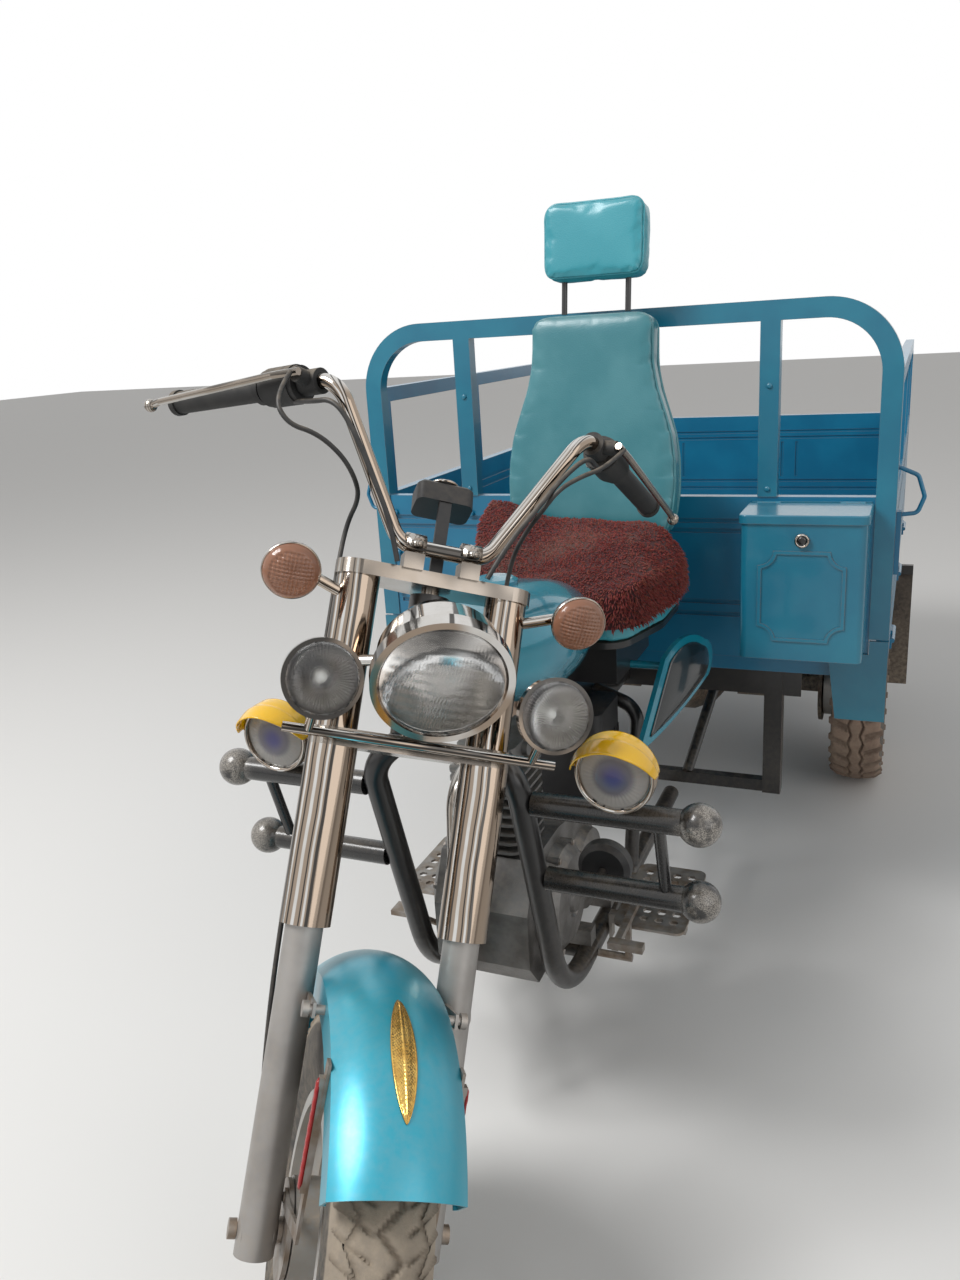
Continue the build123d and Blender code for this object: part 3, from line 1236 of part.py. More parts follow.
def hand_controls():
    """Grips with collars, switch boxes and lever perches on both ends of the handlebar."""
    pieces = []
    for sign in (-1, 1):
        hole = rod(beside_bar(sign, 0.02, 0, 0), beside_bar(sign, 1.001, 0, 0), BAR_D + 0.2)
        grip = rod(beside_bar(sign, 0.42, 0, 0), beside_bar(sign, 1.02, 0, 0), GRIP_D)
        grip += rod(beside_bar(sign, 0.42, 0, 0), beside_bar(sign, 0.45, 0, 0), GRIP_D + 10)
        grip += rod(beside_bar(sign, 0.99, 0, 0), beside_bar(sign, 1.02, 0, 0), GRIP_D + 5)
        housing = rod(beside_bar(sign, 0.2, 0, 0), beside_bar(sign, 0.4, 0, 0), 52)
        housing += rod(beside_bar(sign, 0.225, 0, 0), beside_bar(sign, 0.375, 0, 0), 56)
        perch = rod(beside_bar(sign, 0.09, 0, 0), beside_bar(sign, 0.19, 0, 0), BAR_D + 14)
        perch += rod(beside_bar(sign, PERCH_SHARE, 0, 0), beside_bar(sign, PERCH_SHARE, PERCH_REACH, 3), 22)
        pieces.extend([grip - hole, housing - hole, perch - hole])
    return in_fork(Compound(children=pieces))


def levers():
    """Hand levers pivoted on the perches in front of the grips, each with a ball at its end."""
    pieces = []
    start = PERCH_REACH + RUNNING_GAP + LEVER_D / 2
    for sign in (-1, 1):
        stations = [
            beside_bar(sign, PERCH_SHARE - 0.03, start, 3),
            beside_bar(sign, PERCH_SHARE + 0.12, start, 3),
            beside_bar(sign, 0.97, 44, 18),
            beside_bar(sign, 1.03, 44, 22),
        ]
        lever = bent_bar(stations, 14, LEVER_D)
        lever += Pos(*stations[-1]) * Sphere(10)
        pieces.append(lever)
    return in_fork(Compound(children=pieces))


HEAD_RIM = (0.0, 164.0, -6.0)
HEAD_D = 184.0
SPOT_U = 150.0
SPOT_D = 100.0
SPOT_RIM = (172.0, -25.0)
LAMP_BAR = (183.0, 94.0, -84.0)
HEAD_AIM = aimed(13.0)
SPOT_AIM = aimed(-18.0)


def headlight():
    """Bright bullet headlight with a stepped rim, held between the leg covers."""
    r = HEAD_D / 2
    outside = [
        (2, r - 12),
        (-4, r - 9),
        (-4, r),
        (18, r),
        (24, r - 5),
        (62, r - 10),
        (100, r - 30),
        (128, r - 62),
        (138, 0),
    ]
    shell = lamp_body(outside, r - 12, 80, 9, fork_point(*HEAD_RIM), HEAD_AIM)
    for sign in (-1, 1):
        shell += rod(fork_point(sign * 30, 84, 28), fork_point(sign * 100, 36, 20), 16)
    shell -= Pos(FORK_HALF_GAUGE, -FORK_OFFSET, -60) * extrude(Circle(30 + RUNNING_GAP), 190)
    shell -= Pos(-FORK_HALF_GAUGE, -FORK_OFFSET, -60) * extrude(Circle(30 + RUNNING_GAP), 190)
    return in_fork(shell)


def lamp_lenses():
    """Domed glass of the headlight and of the two spot lamps."""
    r = HEAD_D / 2 - 12 - RUNNING_GAP
    pieces = [
        turned([(1.6, 0), (1.6, r), (-4, r), (-9, r * 0.6), (-11, 0)], fork_point(*HEAD_RIM), HEAD_AIM)
    ]
    for sign in (-1, 1):
        q = SPOT_D / 2 - 5 - RUNNING_GAP
        pieces.append(
            turned([(1.6, 0), (1.6, q), (-3, q), (-6, q * 0.6), (-7, 0)], fork_point(sign * SPOT_U, *SPOT_RIM), SPOT_AIM)
        )
    return in_fork(Compound(children=pieces))


def lamp_bar():
    """Cross bar below the headlight with its two spot lamp shells and the signal stems."""
    u, v, s = LAMP_BAR
    bar = rod(fork_point(-u, v, s), fork_point(u, v, s), 13)
    for sign in (-1, 1):
        bar += rod(fork_point(sign * 55, v, s), fork_point(sign * 55, FORK_OFFSET + 34.3, s), 12)
        q = SPOT_D / 2
        outside = [(2, q - 5), (-4, q - 5), (-4, q), (8, q), (30, q - 8), (52, q - 24), (58, 0)]
        bar += lamp_body(outside, q - 5, 38, 6, fork_point(sign * SPOT_U, *SPOT_RIM), SPOT_AIM)
        bar += rod(fork_point(sign * SPOT_U, SPOT_RIM[0] - 38, SPOT_RIM[1] - 24), fork_point(sign * SPOT_U, v, s), 12)
    pieces = [bar]
    for sign in (-1, 1):
        start = fork_point(sign * FORK_HALF_GAUGE, FORK_OFFSET + 4, SIGNAL[2] - 12)
        lamp = Vector(*fork_point(sign * SIGNAL[0], SIGNAL[1], SIGNAL[2]))
        back = Vector(*REARWARD)
        stem = rod(start, tuple(lamp + back * 38), 16)
        stem += rod(tuple(lamp + back * 24.3), tuple(lamp + back * 44), 18)
        stem -= Pos(sign * FORK_HALF_GAUGE, -FORK_OFFSET, -60) * extrude(Circle(30 + RUNNING_GAP), 190)
        pieces.append(stem)
    return in_fork(Compound(children=pieces))


SIGNAL = (202.0, 77.0, 117.0)


def signal_lenses():
    """Round amber turn signals."""
    pieces = []
    for sign in (-1, 1):
        pieces.append(
            turned(
                [(-16, 0), (-14, 20), (-6, 34), (2, 38), (8, 38), (20, 30), (24, 16), (24, 0)],
                fork_point(sign * SIGNAL[0], SIGNAL[1], SIGNAL[2]),
                REARWARD,
            )
        )
    return in_fork(Compound(children=pieces))


def instrument():
    """Small instrument case above the upper yoke, tilted towards the rider."""
    case = extrude(RectangleRounded(84, 52, 12), 36)
    case = chamfer(case.edges().group_by(Axis.Z)[-1], 7)
    place = Pos(0, 2, 262) * Rot(X=-18)
    stand = block(-9, 9, -20, -12, YOKE_TOP[1] + RUNNING_GAP, 276)
    return in_fork(place * case + stand)


def fender_profile(radius, width):
    """Half-round gutter section of the front fender, as a face whose crown is at a radius."""
    half = width / 2
    rise = FENDER_RISE
    wall = SHEET
    outer = ThreePointArc((-half, radius - rise), (0, radius), (half, radius - rise))
    inner = ThreePointArc((-half + wall, radius - rise), (0, radius - wall), (half - wall, radius - rise))
    skirt_z = radius - FENDER_DEPTH
    sides = [
        Line((-half, radius - rise), (-half, skirt_z)),
        Line((-half, skirt_z), (-half + wall, skirt_z)),
        Line((-half + wall, skirt_z), (-half + wall, radius - rise)),
        Line((half, radius - rise), (half, skirt_z)),
        Line((half, skirt_z), (half - wall, skirt_z)),
        Line((half - wall, skirt_z), (half - wall, radius - rise)),
    ]
    gutter = make_face([outer, inner, *sides])
    for x in (-half + wall + 0.4, half - wall - 0.4):
        gutter += Pos(x, skirt_z + wall) * Circle(wall + 0.4)
    return gutter


def front_fender():
    """Long curved fender about the axle, from well ahead of the wheel round to behind it."""
    gutter = fender_profile(FRONT_TYRE_R + FENDER_GAP, FENDER_WIDTH)
    arc = revolve(gutter, Axis.X, revolution_arc=FENDER_FRONT + FENDER_REAR)
    return in_fork(Pos(0, -AXLE_OFFSET, AXLE_S) * Rot(X=90 - FENDER_REAR) * arc)


def fender_ornament():
    """Pointed leaf of bright metal that lies along the crown of the fender."""
    crown = FRONT_TYRE_R + FENDER_GAP + RUNNING_GAP
    half_width = 15.0
    sag = half_width**2 * FENDER_RISE / (FENDER_WIDTH / 2) ** 2
    low = ThreePointArc((-half_width, crown - sag), (0, crown), (half_width, crown - sag))
    high = ThreePointArc((-half_width, crown - sag + 4), (0, crown + 4), (half_width, crown - sag + 4))
    ends = [
        Line((-half_width, crown - sag), (-half_width, crown - sag + 4)),
        Line((half_width, crown - sag), (half_width, crown - sag + 4)),
    ]
    band = Rot(X=-16) * revolve(make_face([low, high, *ends]), Axis.X, revolution_arc=32)
    tip = 82.0
    outline = make_face(
        [
            ThreePointArc((0, -tip), (half_width, 0), (0, tip)),
            ThreePointArc((0, tip), (-half_width, 0), (0, -tip)),
        ]
    )
    lens = Pos(0, crown + 60, 0) * extrude(Plane.XZ * outline, 160)
    leaf_shape = band & lens
    return in_fork(Pos(0, -AXLE_OFFSET, AXLE_S) * Rot(X=90 + 38.4) * leaf_shape)


def fender_stays():
    """Flat stays along the fender's sides with a reflector on each, and the studs above them."""
    side = FENDER_WIDTH / 2 + RUNNING_GAP
    pieces = []
    for sign in (-1, 1):
        path = [
            (-18, AXLE_S + 52),
            (-62, AXLE_S + 48),
            (-150, -646),
            (-196, -452),
            (-212, -456),
            (-164, -662),
            (-66, AXLE_S + 33),
            (-18, AXLE_S + 34),
        ]
        x0, x1 = sorted((sign * side, sign * (side + 4)))
        stay = plate_yz(path, x0, x1)
        glass = [(-170, -600), (-196, -470), (-206, -472), (-180, -602)]
        x0, x1 = sorted((sign * (side + 3), sign * (side + 10)))
        stay += plate_yz(glass, x0, x1)
        stud = rod((sign * side, -100, -420), (sign * (side + 26), -100, -420), 12)
        stud += rod((sign * (side + 20), -100, -420), (sign * (side + 28), -100, -420), 20)
        stay += rod((sign * side, -24, AXLE_S + 43), (sign * (FORK_HALF_GAUGE - 25.2), -24, AXLE_S + 43), 12)
        x0, x1 = sorted((sign * (side + 12), sign * (side + 16)))
        tab = block(x0, x1, -108, -FORK_OFFSET, -429, -411)
        tab -= Pos(sign * FORK_HALF_GAUGE, -FORK_OFFSET, -450) * extrude(Circle(LOWER_D / 2 + 0.2), 60)
        stud += tab
        pieces.extend([stay, stud])
    return in_fork(Compound(children=pieces))


front_tyre, front_rim = front_wheel()
left_tyre, left_rim = rear_wheel(1)
right_tyre, right_rim = rear_wheel(-1)
left_gate = side_gate()

NODES = {
    "frame_main": frame_main(),
    "bed_frame": bed_frame(),
    "crash_bar": crash_bar(),
    "engine": engine(),
    "exhaust": exhaust(),
    "fuel_tank": fuel_tank(),
    "air_box": air_box(),
    "side_covers": side_covers(),
    "seat_frame": Compound(children=[seat_frame(), headrest_posts()]),
    "seat_cushion": seat_cushion(),
    "seat_rug": seat_rug(),
    "backrest": backrest(),
    "headrest": headrest(),
    "footplates": footplates(),
    "foot_controls": foot_controls(),
    "bed_floor": bed_floor(),
    "headboard": headboard(),
    "front_board": front_board(),
    "tool_box": tool_box(),
    "leaf_springs": leaf_springs(),
    "rear_axle": rear_axle(),
    "skirts": skirts(),
    "mud_flaps": mud_flaps(),
    "tail_lamps": tail_lamps(),
    "fog_lamps": fog_lamps(),
    "fog_lenses": fog_lenses(),
    "fog_visors": fog_visors(),
    "horn": horn(),
    "fork_yokes": fork_yokes(),
    "fork_covers": fork_covers(),
    "fork_lowers": fork_lowers(),
    "front_axle": front_axle(),
    "handlebar": handlebar(),
    "hand_controls": hand_controls(),
    "levers": levers(),
    "headlight": headlight(),
    "lamp_lenses": lamp_lenses(),
    "lamp_bar": lamp_bar(),
    "signal_lenses": signal_lenses(),
    "instrument": instrument(),
    "front_fender": front_fender(),
    "fender_ornament": fender_ornament(),
    "fender_stays": fender_stays(),
    "front_tyre": front_tyre,
    "front_rim": front_rim,
    "rear_tyre_left": left_tyre,
    "rear_rim_left": left_rim,
    "rear_tyre_right": right_tyre,
    "rear_rim_right": right_rim,
    "gate_left": left_gate,
    "gate_right": mirror(left_gate, about=Plane.YZ),
    "tailgate": tailgate(),
    "tool_box_lid": tool_box_lid(),
}

# Shift the whole vehicle so that its footprint is centred on the origin
low_y = min(shape.bounding_box().min.Y for shape in NODES.values())
high_y = max(shape.bounding_box().max.Y for shape in NODES.values())
low_x = min(shape.bounding_box().min.X for shape in NODES.values())
high_x = max(shape.bounding_box().max.X for shape in NODES.values())
low_z = min(shape.bounding_box().min.Z for shape in NODES.values())
SHIFT = (-(low_x + high_x) / 2, -(low_y + high_y) / 2, -low_z)

os.makedirs("parts", exist_ok=True)
for name, shape in NODES.items():
    export_step(Pos(*SHIFT) * shape, f"parts/{name}.step")
    print(name, round(shape.volume / 1000, 1), "cm3", len(shape.solids()), "solids")
print("shift", SHIFT, "size", high_x - low_x, high_y - low_y)
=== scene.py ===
# %% [markdown]
# # A cargo motor tricycle, dressed over its CAD solids
#
# The CAD model gives every rigid piece its true size and place. This lesson loads it, gives each
# piece a finish that behaves like the real one, and adds what solids alone can't show: tyre tread,
# stuffed seat pads, a shaggy rug, glass with a reflector behind it, bolts and engraved metal.
# Lengths are in metres: X is the vehicle's left, Y runs back to the tailgate and Z is up.

import json
import math

import bmesh
import bpy
import numpy as np
from mathutils import Matrix, Vector
from mathutils.bvhtree import BVHTree
from mathutils.kdtree import KDTree


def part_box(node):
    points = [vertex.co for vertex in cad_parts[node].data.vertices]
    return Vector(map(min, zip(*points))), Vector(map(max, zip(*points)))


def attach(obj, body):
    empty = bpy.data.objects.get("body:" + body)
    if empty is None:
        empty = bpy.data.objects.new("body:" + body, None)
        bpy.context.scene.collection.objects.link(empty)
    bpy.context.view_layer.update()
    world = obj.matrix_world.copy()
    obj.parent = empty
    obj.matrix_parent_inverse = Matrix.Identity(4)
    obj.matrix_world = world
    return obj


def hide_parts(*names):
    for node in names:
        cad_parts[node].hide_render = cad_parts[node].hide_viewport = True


SEED = 5286
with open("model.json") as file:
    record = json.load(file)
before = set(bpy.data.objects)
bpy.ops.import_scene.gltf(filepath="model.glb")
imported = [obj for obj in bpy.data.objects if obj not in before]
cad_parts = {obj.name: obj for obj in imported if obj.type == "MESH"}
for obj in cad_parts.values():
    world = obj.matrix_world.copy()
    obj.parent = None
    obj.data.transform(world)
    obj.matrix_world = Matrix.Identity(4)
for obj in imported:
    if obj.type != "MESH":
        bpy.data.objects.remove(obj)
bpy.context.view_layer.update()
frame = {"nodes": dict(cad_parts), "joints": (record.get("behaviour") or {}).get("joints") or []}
nodes = frame["nodes"]
rng = np.random.default_rng(SEED)

# %% [markdown]
# ## Two frames of reference
#
# The bed stands square to the row frame, but everything on the fork is turned with the steering and
# laid back by the rake. The steering joint gives the fork's own frame: u to the left across the
# fork, w rearward, s up along the steering axis. A piece worked out in u, w, s then lands on the
# fork with one matrix product.

# %% Places taken from the frame
LEFT, REAR, FRONT, UP = (1, 0, 0), (0, 1, 0), (0, -1, 0), (0, 0, 1)
joints = {j["name"]: j for j in frame["joints"]}
fork_origin = np.array(joints["steering"]["pos_m"])
fork_up = np.array(joints["steering"]["axis"])
fork_across = np.array(joints["front_wheel_spin"]["axis"])
fork_basis = np.stack([fork_across, np.cross(fork_up, fork_across), fork_up])
bed_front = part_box("headboard")[0][1]
rake = math.asin(fork_up[1])


def on_fork(points):
    """Row-frame places of points given as (u, w, s): the origin plus each number times its own axis."""
    return fork_origin + np.asarray(points, float) @ fork_basis


def fork_way(u, w, s):
    """Row-frame direction of a direction in the fork's frame."""
    return np.array([u, w, s], float) @ fork_basis


print("rake in degrees", round(math.degrees(rake), 2), "headboard front", round(bed_front, 4))

# %% [markdown]
# ## The camera
#
# Matching the photograph starts with the camera. Its place and turn were solved from the straight
# edges of the bed and the circles of the wheels and lamps, so they are written as three unit
# vectors: to the right in the picture, down in the picture, and into the scene.


# %% Camera
def new_object(name, data):
    """A new object at the origin, linked into the scene."""
    piece = bpy.data.objects.new(name, data)
    bpy.context.scene.collection.objects.link(piece)
    return piece


camera_place = Vector((0.629807, -2.220883 + bed_front, 1.376879))
picture_right = Vector((0.921821, 0.382960, -0.059904))
picture_down = Vector((0.058228, -0.289604, -0.955374))
picture_depth = Vector((-0.383218, 0.877195, -0.289262))
lens_data = bpy.data.cameras.new("photo_camera")
lens_data.sensor_fit = "VERTICAL"
lens_data.sensor_height = 36.0
lens_data.sensor_width = 27.0
lens_data.lens = 28.779
camera = new_object("photo_camera", lens_data)
turn = Matrix((picture_right, -picture_down, -picture_depth)).transposed()
camera.matrix_world = Matrix.Translation(camera_place) @ turn.to_4x4()
bpy.context.scene.camera = camera
print("camera at", [round(v, 3) for v in camera_place])

# %% [markdown]
# ## Helpers for surfaces
#
# Most new pieces are grids: a function of two parameters, evaluated as one numpy array, whose rows
# and columns become quads. One helper turns such an array into a mesh and another dresses the piece
# and hands it to the CAD body that it moves with. The frame brings materials of its own, some under
# the same names, so this lesson's finishes are kept in a table and taken from there.


# %% Grid surfaces
finishes = {}


def mesh_piece(name, verts, faces, smooth=True):
    """A mesh object from an array of places and a list or array of faces."""
    mesh = bpy.data.meshes.new(name)
    mesh.from_pydata(np.asarray(verts, float).reshape(-1, 3).tolist(), [], np.asarray(faces).tolist())
    mesh.validate()
    if smooth:
        mesh.shade_smooth()
    return new_object(name, mesh)


def grid_faces(rows, columns, wrap_rows=False, wrap_columns=False):
    """Quads of a grid: each joins four neighbouring points, going round where a direction wraps."""
    i = np.arange(rows if wrap_rows else rows - 1)
    j = np.arange(columns if wrap_columns else columns - 1)
    a, b = np.meshgrid(i, j, indexing="ij")
    a2, b2 = (a + 1) % rows, (b + 1) % columns
    quads = np.stack([a * columns + b, a2 * columns + b, a2 * columns + b2, a * columns + b2], axis=-1)
    return quads.reshape(-1, 4)


def outward(piece, weld=1e-6):
    """Joins points that meet and turns every face of a closed mesh outward."""
    bm = bmesh.new()
    bm.from_mesh(piece.data)
    bmesh.ops.remove_doubles(bm, verts=bm.verts, dist=weld)
    bmesh.ops.recalc_face_normals(bm, faces=bm.faces)
    bm.to_mesh(piece.data)
    bm.free()
    return piece


def vertex_array(mesh, what="co"):
    """Places, or with "normal" the normals, of a mesh's vertices as one array."""
    values = np.empty(len(mesh.vertices) * 3, np.float32)
    mesh.vertices.foreach_get(what, values)
    return values.reshape(-1, 3).astype(float)


def move_vertices(piece, places):
    """Moves a piece's vertices to new places."""
    piece.data.vertices.foreach_set("co", places.ravel())
    piece.data.update()


def with_attribute(piece, name, values):
    """Stores one number per vertex, which a material can read by name."""
    layer = piece.data.attributes.new(name, "FLOAT", "POINT")
    layer.data.foreach_set("value", np.asarray(values, np.float32).ravel())


def hand_over(piece, finish_name, body, node=None):
    """Dresses a piece, hangs it on a body's empty and, where it stands in for a CAD node, hides that node."""
    piece.data.materials.append(finishes[finish_name])
    if node:
        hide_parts(node)
    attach(piece, body)
    return piece


# %% [markdown]
# ## Shared shader groups
#
# Enamel, chrome and rubber wear in the same few ways: paint goes from the edges, dust settles on
# what faces up and near the ground, and no colour is perfectly even. Each effect is one node group
# that gives a mask, so a material only says how much of it there is. Bright metal shows what is
# round it, and a white studio wouldn't lay the street's dark bands along every tube, so one more
# group paints a reflection into the colour: it darkens the metal where it faces certain ways.


# %% Node helpers
def feed(tree, slot, value):
    """Gives an input its value: a number, a colour or the output of another node."""
    if isinstance(value, (int, float)):
        slot.default_value = value
    elif isinstance(value, tuple):
        slot.default_value = (*value, 1.0)
    else:
        tree.links.new(value, slot)


def add(tree, kind, **values):
    """Adds a node and gives its inputs, or else its settings, their values by name."""
    node = tree.nodes.new(kind)
    for key, value in values.items():
        if key in node.inputs:
            feed(tree, node.inputs[key], value)
        else:
            setattr(node, key, value)
    return node


def calc(tree, operation, *values, clamp=False):
    """One arithmetic node; each operand is a number or a socket."""
    node = add(tree, "ShaderNodeMath", operation=operation, use_clamp=clamp)
    for slot, value in zip(node.inputs, values):
        feed(tree, slot, value)
    return node.outputs[0]


def ramp(tree, value, low, high):
    """A smooth step: 0 below low, 1 above high."""
    limits = {"From Min": low, "From Max": high}
    return add(tree, "ShaderNodeMapRange", interpolation_type="SMOOTHSTEP", Value=value, **limits).outputs["Result"]


def mix_colour(tree, factor, a, b):
    """Mixes two colours by a factor."""
    node = add(tree, "ShaderNodeMix", data_type="RGBA")
    for slot, value in ((0, factor), (6, a), (7, b)):
        feed(tree, node.inputs[slot], value)
    return node.outputs[2]


def noise(tree, vector, scale, detail=4.0, roughness=0.55):
    """A noise value on the given vector."""
    node = add(tree, "ShaderNodeTexNoise", Scale=scale, Vector=vector, Detail=detail, Roughness=roughness)
    return node.outputs["Fac"]


def object_place(tree):
    """The place on the object, in metres."""
    return add(tree, "ShaderNodeTexCoord").outputs["Object"]


def surface_normal(tree):
    """The direction that the surface faces."""
    return add(tree, "ShaderNodeNewGeometry").outputs["Normal"]


def parts_of(tree, vector):
    """A vector's three numbers, by the names X, Y and Z."""
    return add(tree, "ShaderNodeSeparateXYZ", Vector=vector).outputs


def new_group(name, inputs, outputs):
    """An empty shader node group, its number inputs with their defaults and its number outputs."""
    tree = bpy.data.node_groups.new(name, "ShaderNodeTree")
    for label, default in inputs.items():
        tree.interface.new_socket(label, in_out="INPUT", socket_type="NodeSocketFloat").default_value = default
    for label in outputs:
        tree.interface.new_socket(label, in_out="OUTPUT", socket_type="NodeSocketFloat")
    return tree, tree.nodes.new("NodeGroupInput").outputs, tree.nodes.new("NodeGroupOutput").inputs


# %% Edge wear
edge_wear, given, out = new_group("edge_wear", {"Radius": 0.004, "Amount": 0.5, "Scale": 60.0}, ["Mask"])
facing = add(edge_wear, "ShaderNodeVectorMath", operation="DOT_PRODUCT")
rounded = add(edge_wear, "ShaderNodeBevel", samples=4, Radius=given["Radius"])
feed(edge_wear, facing.inputs[0], rounded.outputs["Normal"])
feed(edge_wear, facing.inputs[1], surface_normal(edge_wear))
chips = noise(edge_wear, object_place(edge_wear), given["Scale"], 6.0, 0.7)
sharp = calc(edge_wear, "SUBTRACT", 1.0, facing.outputs["Value"])
sharp = calc(edge_wear, "MULTIPLY", sharp, calc(edge_wear, "MULTIPLY", chips, 6.0))
sharp = calc(edge_wear, "MULTIPLY", sharp, given["Amount"])
feed(edge_wear, out["Mask"], ramp(edge_wear, sharp, 0.25, 0.75))

# %% Dust
dust, given, out = new_group("dust", {"Amount": 0.5, "Low": 0.5}, ["Mask"])
place = object_place(dust)
up = ramp(dust, parts_of(dust, surface_normal(dust))["Z"], 0.15, 0.95)
near_ground = calc(dust, "SUBTRACT", 1.0, ramp(dust, parts_of(dust, place)["Z"], 0.05, 0.75))
near_ground = calc(dust, "MULTIPLY", near_ground, given["Low"])
cloud = calc(dust, "ADD", noise(dust, place, 5.0, 6.0, 0.6), noise(dust, place, 90.0, 3.0, 0.6))
cloud = ramp(dust, cloud, 0.7, 1.35)
amount = calc(dust, "MULTIPLY", calc(dust, "ADD", up, near_ground), given["Amount"])
feed(dust, out["Mask"], calc(dust, "MULTIPLY", amount, cloud, clamp=True))

# %% Mottle
FINE_TO_BROAD = 28.0
mottle, given, out = new_group("mottle", {"Scale": 12.0}, ["Broad", "Fine"])
place = object_place(mottle)
feed(mottle, out["Broad"], noise(mottle, place, given["Scale"], 3.0))
fine_scale = calc(mottle, "MULTIPLY", given["Scale"], FINE_TO_BROAD)
feed(mottle, out["Fine"], noise(mottle, place, fine_scale, 4.0, 0.65))

# %% Painted reflection bands in bright metal
painted_reflection_group, given, out = new_group("painted_reflection_bands", {"Depth": 0.8}, ["Dark", "Sky"])
facing = parts_of(painted_reflection_group, surface_normal(painted_reflection_group))
wobble = noise(painted_reflection_group, object_place(painted_reflection_group), 7.0, 2.0)
sideways = calc(painted_reflection_group, "ADD", facing["X"], calc(painted_reflection_group, "MULTIPLY", wobble, 0.22))


def bands_at(places):
    """Narrow painted reflection bands, each a (centre, half width) of the sideways turn, as one mask."""
    total = 0.0
    for centre, half_width in places:
        off = calc(painted_reflection_group, "ABSOLUTE", calc(painted_reflection_group, "SUBTRACT", sideways, centre))
        band = calc(painted_reflection_group, "SUBTRACT", 1.0, ramp(painted_reflection_group, off, half_width * 0.5, half_width))
        total = calc(painted_reflection_group, "MAXIMUM", band, total)
    return total


# painted reflection: dark bands where the street would be mirrored, bright bands where the sky would
dark = bands_at([(0.66, 0.07), (0.40, 0.035), (-0.10, 0.05), (-0.52, 0.11)])
bright = bands_at([(0.16, 0.09), (-0.30, 0.07), (0.52, 0.05)])
feed(painted_reflection_group, out["Dark"], calc(painted_reflection_group, "MULTIPLY", dark, given["Depth"]))
feed(painted_reflection_group, out["Sky"], calc(painted_reflection_group, "MAXIMUM", bright, ramp(painted_reflection_group, facing["Z"], 0.45, 0.85)))
print("groups", [g.name for g in bpy.data.node_groups])

# %% [markdown]
# ## Finishes
#
# A finish starts from the plain Principled shader. The base colour wanders a little, dust lies over
# it, and where an edge has worn, another colour shows: steel under chrome, primer and rust under
# enamel. Bright metal also gets a painted reflection in its base colour: street tan and dark bands,
# its plain colour where it faces the sky. Bump gives orange peel to the paint and grain to castings.


# %% A finish builder
DUST_TAN = (0.42, 0.34, 0.25)
# street tan laid into bright metal as a painted reflection
REFLECTED_STREET_TAN = (0.47, 0.37, 0.29)
WEAR_RADIUS = 0.003


def shade(tree, **values):
    """Feeds inputs of a material's Principled shader; an underscore stands for a space."""
    for label, value in values.items():
        feed(tree, tree.nodes["Principled BSDF"].inputs[label.replace("_", " ")], value)


def new_material(name, **values):
    """The node tree of a new material, its shader fed with these values."""
    material = bpy.data.materials.new(name)
    material.use_nodes = True
    finishes[name] = material
    shade(material.node_tree, **values)
    return material.node_tree


def group(tree, source, **values):
    """Places a shared group in a material with its own values and returns its outputs."""
    node = add(tree, "ShaderNodeGroup", node_tree=source)
    for key, value in values.items():
        node.inputs[key].default_value = value
    return node.outputs


def times(colour, share):
    """A colour made darker or lighter."""
    return tuple(v * share for v in colour)


def dusted(tree, base, amount, low):
    """A colour under dust, and the mask of that dust."""
    film = group(tree, dust, Amount=amount, Low=low)["Mask"]
    return mix_colour(tree, film, base, DUST_TAN), film


def emboss(tree, height, strength, distance):
    """Lays a height over the shader as fine bump."""
    relief = add(tree, "ShaderNodeBump", Strength=strength, Distance=distance, Height=height)
    shade(tree, Normal=relief.outputs["Normal"])


def finish(
    name, colour, second, roughness, metallic=0.0, coat=0.0, dusty=0.3, low=0.5, wear=0.0, under=None, scale=12.0,
    bump=0.1, bump_size=0.0006, rough_swing=0.15, bands=0.0, coat_rough=0.08,
):
    """A worn, dusty finish: two mottled colours, a painted reflection of street and sky where bands is set, edge wear
    down to an under colour, dust and fine bump.
    """
    tree = new_material(name, Metallic=metallic, Coat_Weight=coat, Coat_Roughness=coat_rough)
    patches = group(tree, mottle, Scale=scale)
    base = mix_colour(tree, ramp(tree, patches["Broad"], 0.35, 0.7), colour, second)
    rough = calc(tree, "MULTIPLY_ADD", patches["Fine"], rough_swing, roughness - rough_swing / 2)
    # painted reflection: street tan and dark bands in the base colour, the plain colour where the metal faces the sky
    if bands > 0:
        painted_reflection_masks = group(tree, painted_reflection_group, Depth=bands)
        street = mix_colour(tree, bands, base, tuple(v * w for v, w in zip(colour, REFLECTED_STREET_TAN)))
        base = mix_colour(tree, painted_reflection_masks["Sky"], street, base)
        base = mix_colour(tree, painted_reflection_masks["Dark"], base, times(colour, 0.07))
    if wear > 0:
        worn = group(tree, edge_wear, Radius=WEAR_RADIUS, Amount=wear)["Mask"]
        base = mix_colour(tree, worn, base, under)
        rough = calc(tree, "MAXIMUM", rough, calc(tree, "MULTIPLY", worn, 0.6))
    if dusty > 0:
        base, film = dusted(tree, base, dusty, low)
        rough = calc(tree, "MAXIMUM", rough, calc(tree, "MULTIPLY", film, 0.85))
        if metallic > 0.5:
            shade(tree, Metallic=calc(tree, "SUBTRACT", metallic, film, clamp=True))
    shade(tree, Base_Color=base, Roughness=rough)
    emboss(tree, patches["Fine"], bump, bump_size)
    return tree


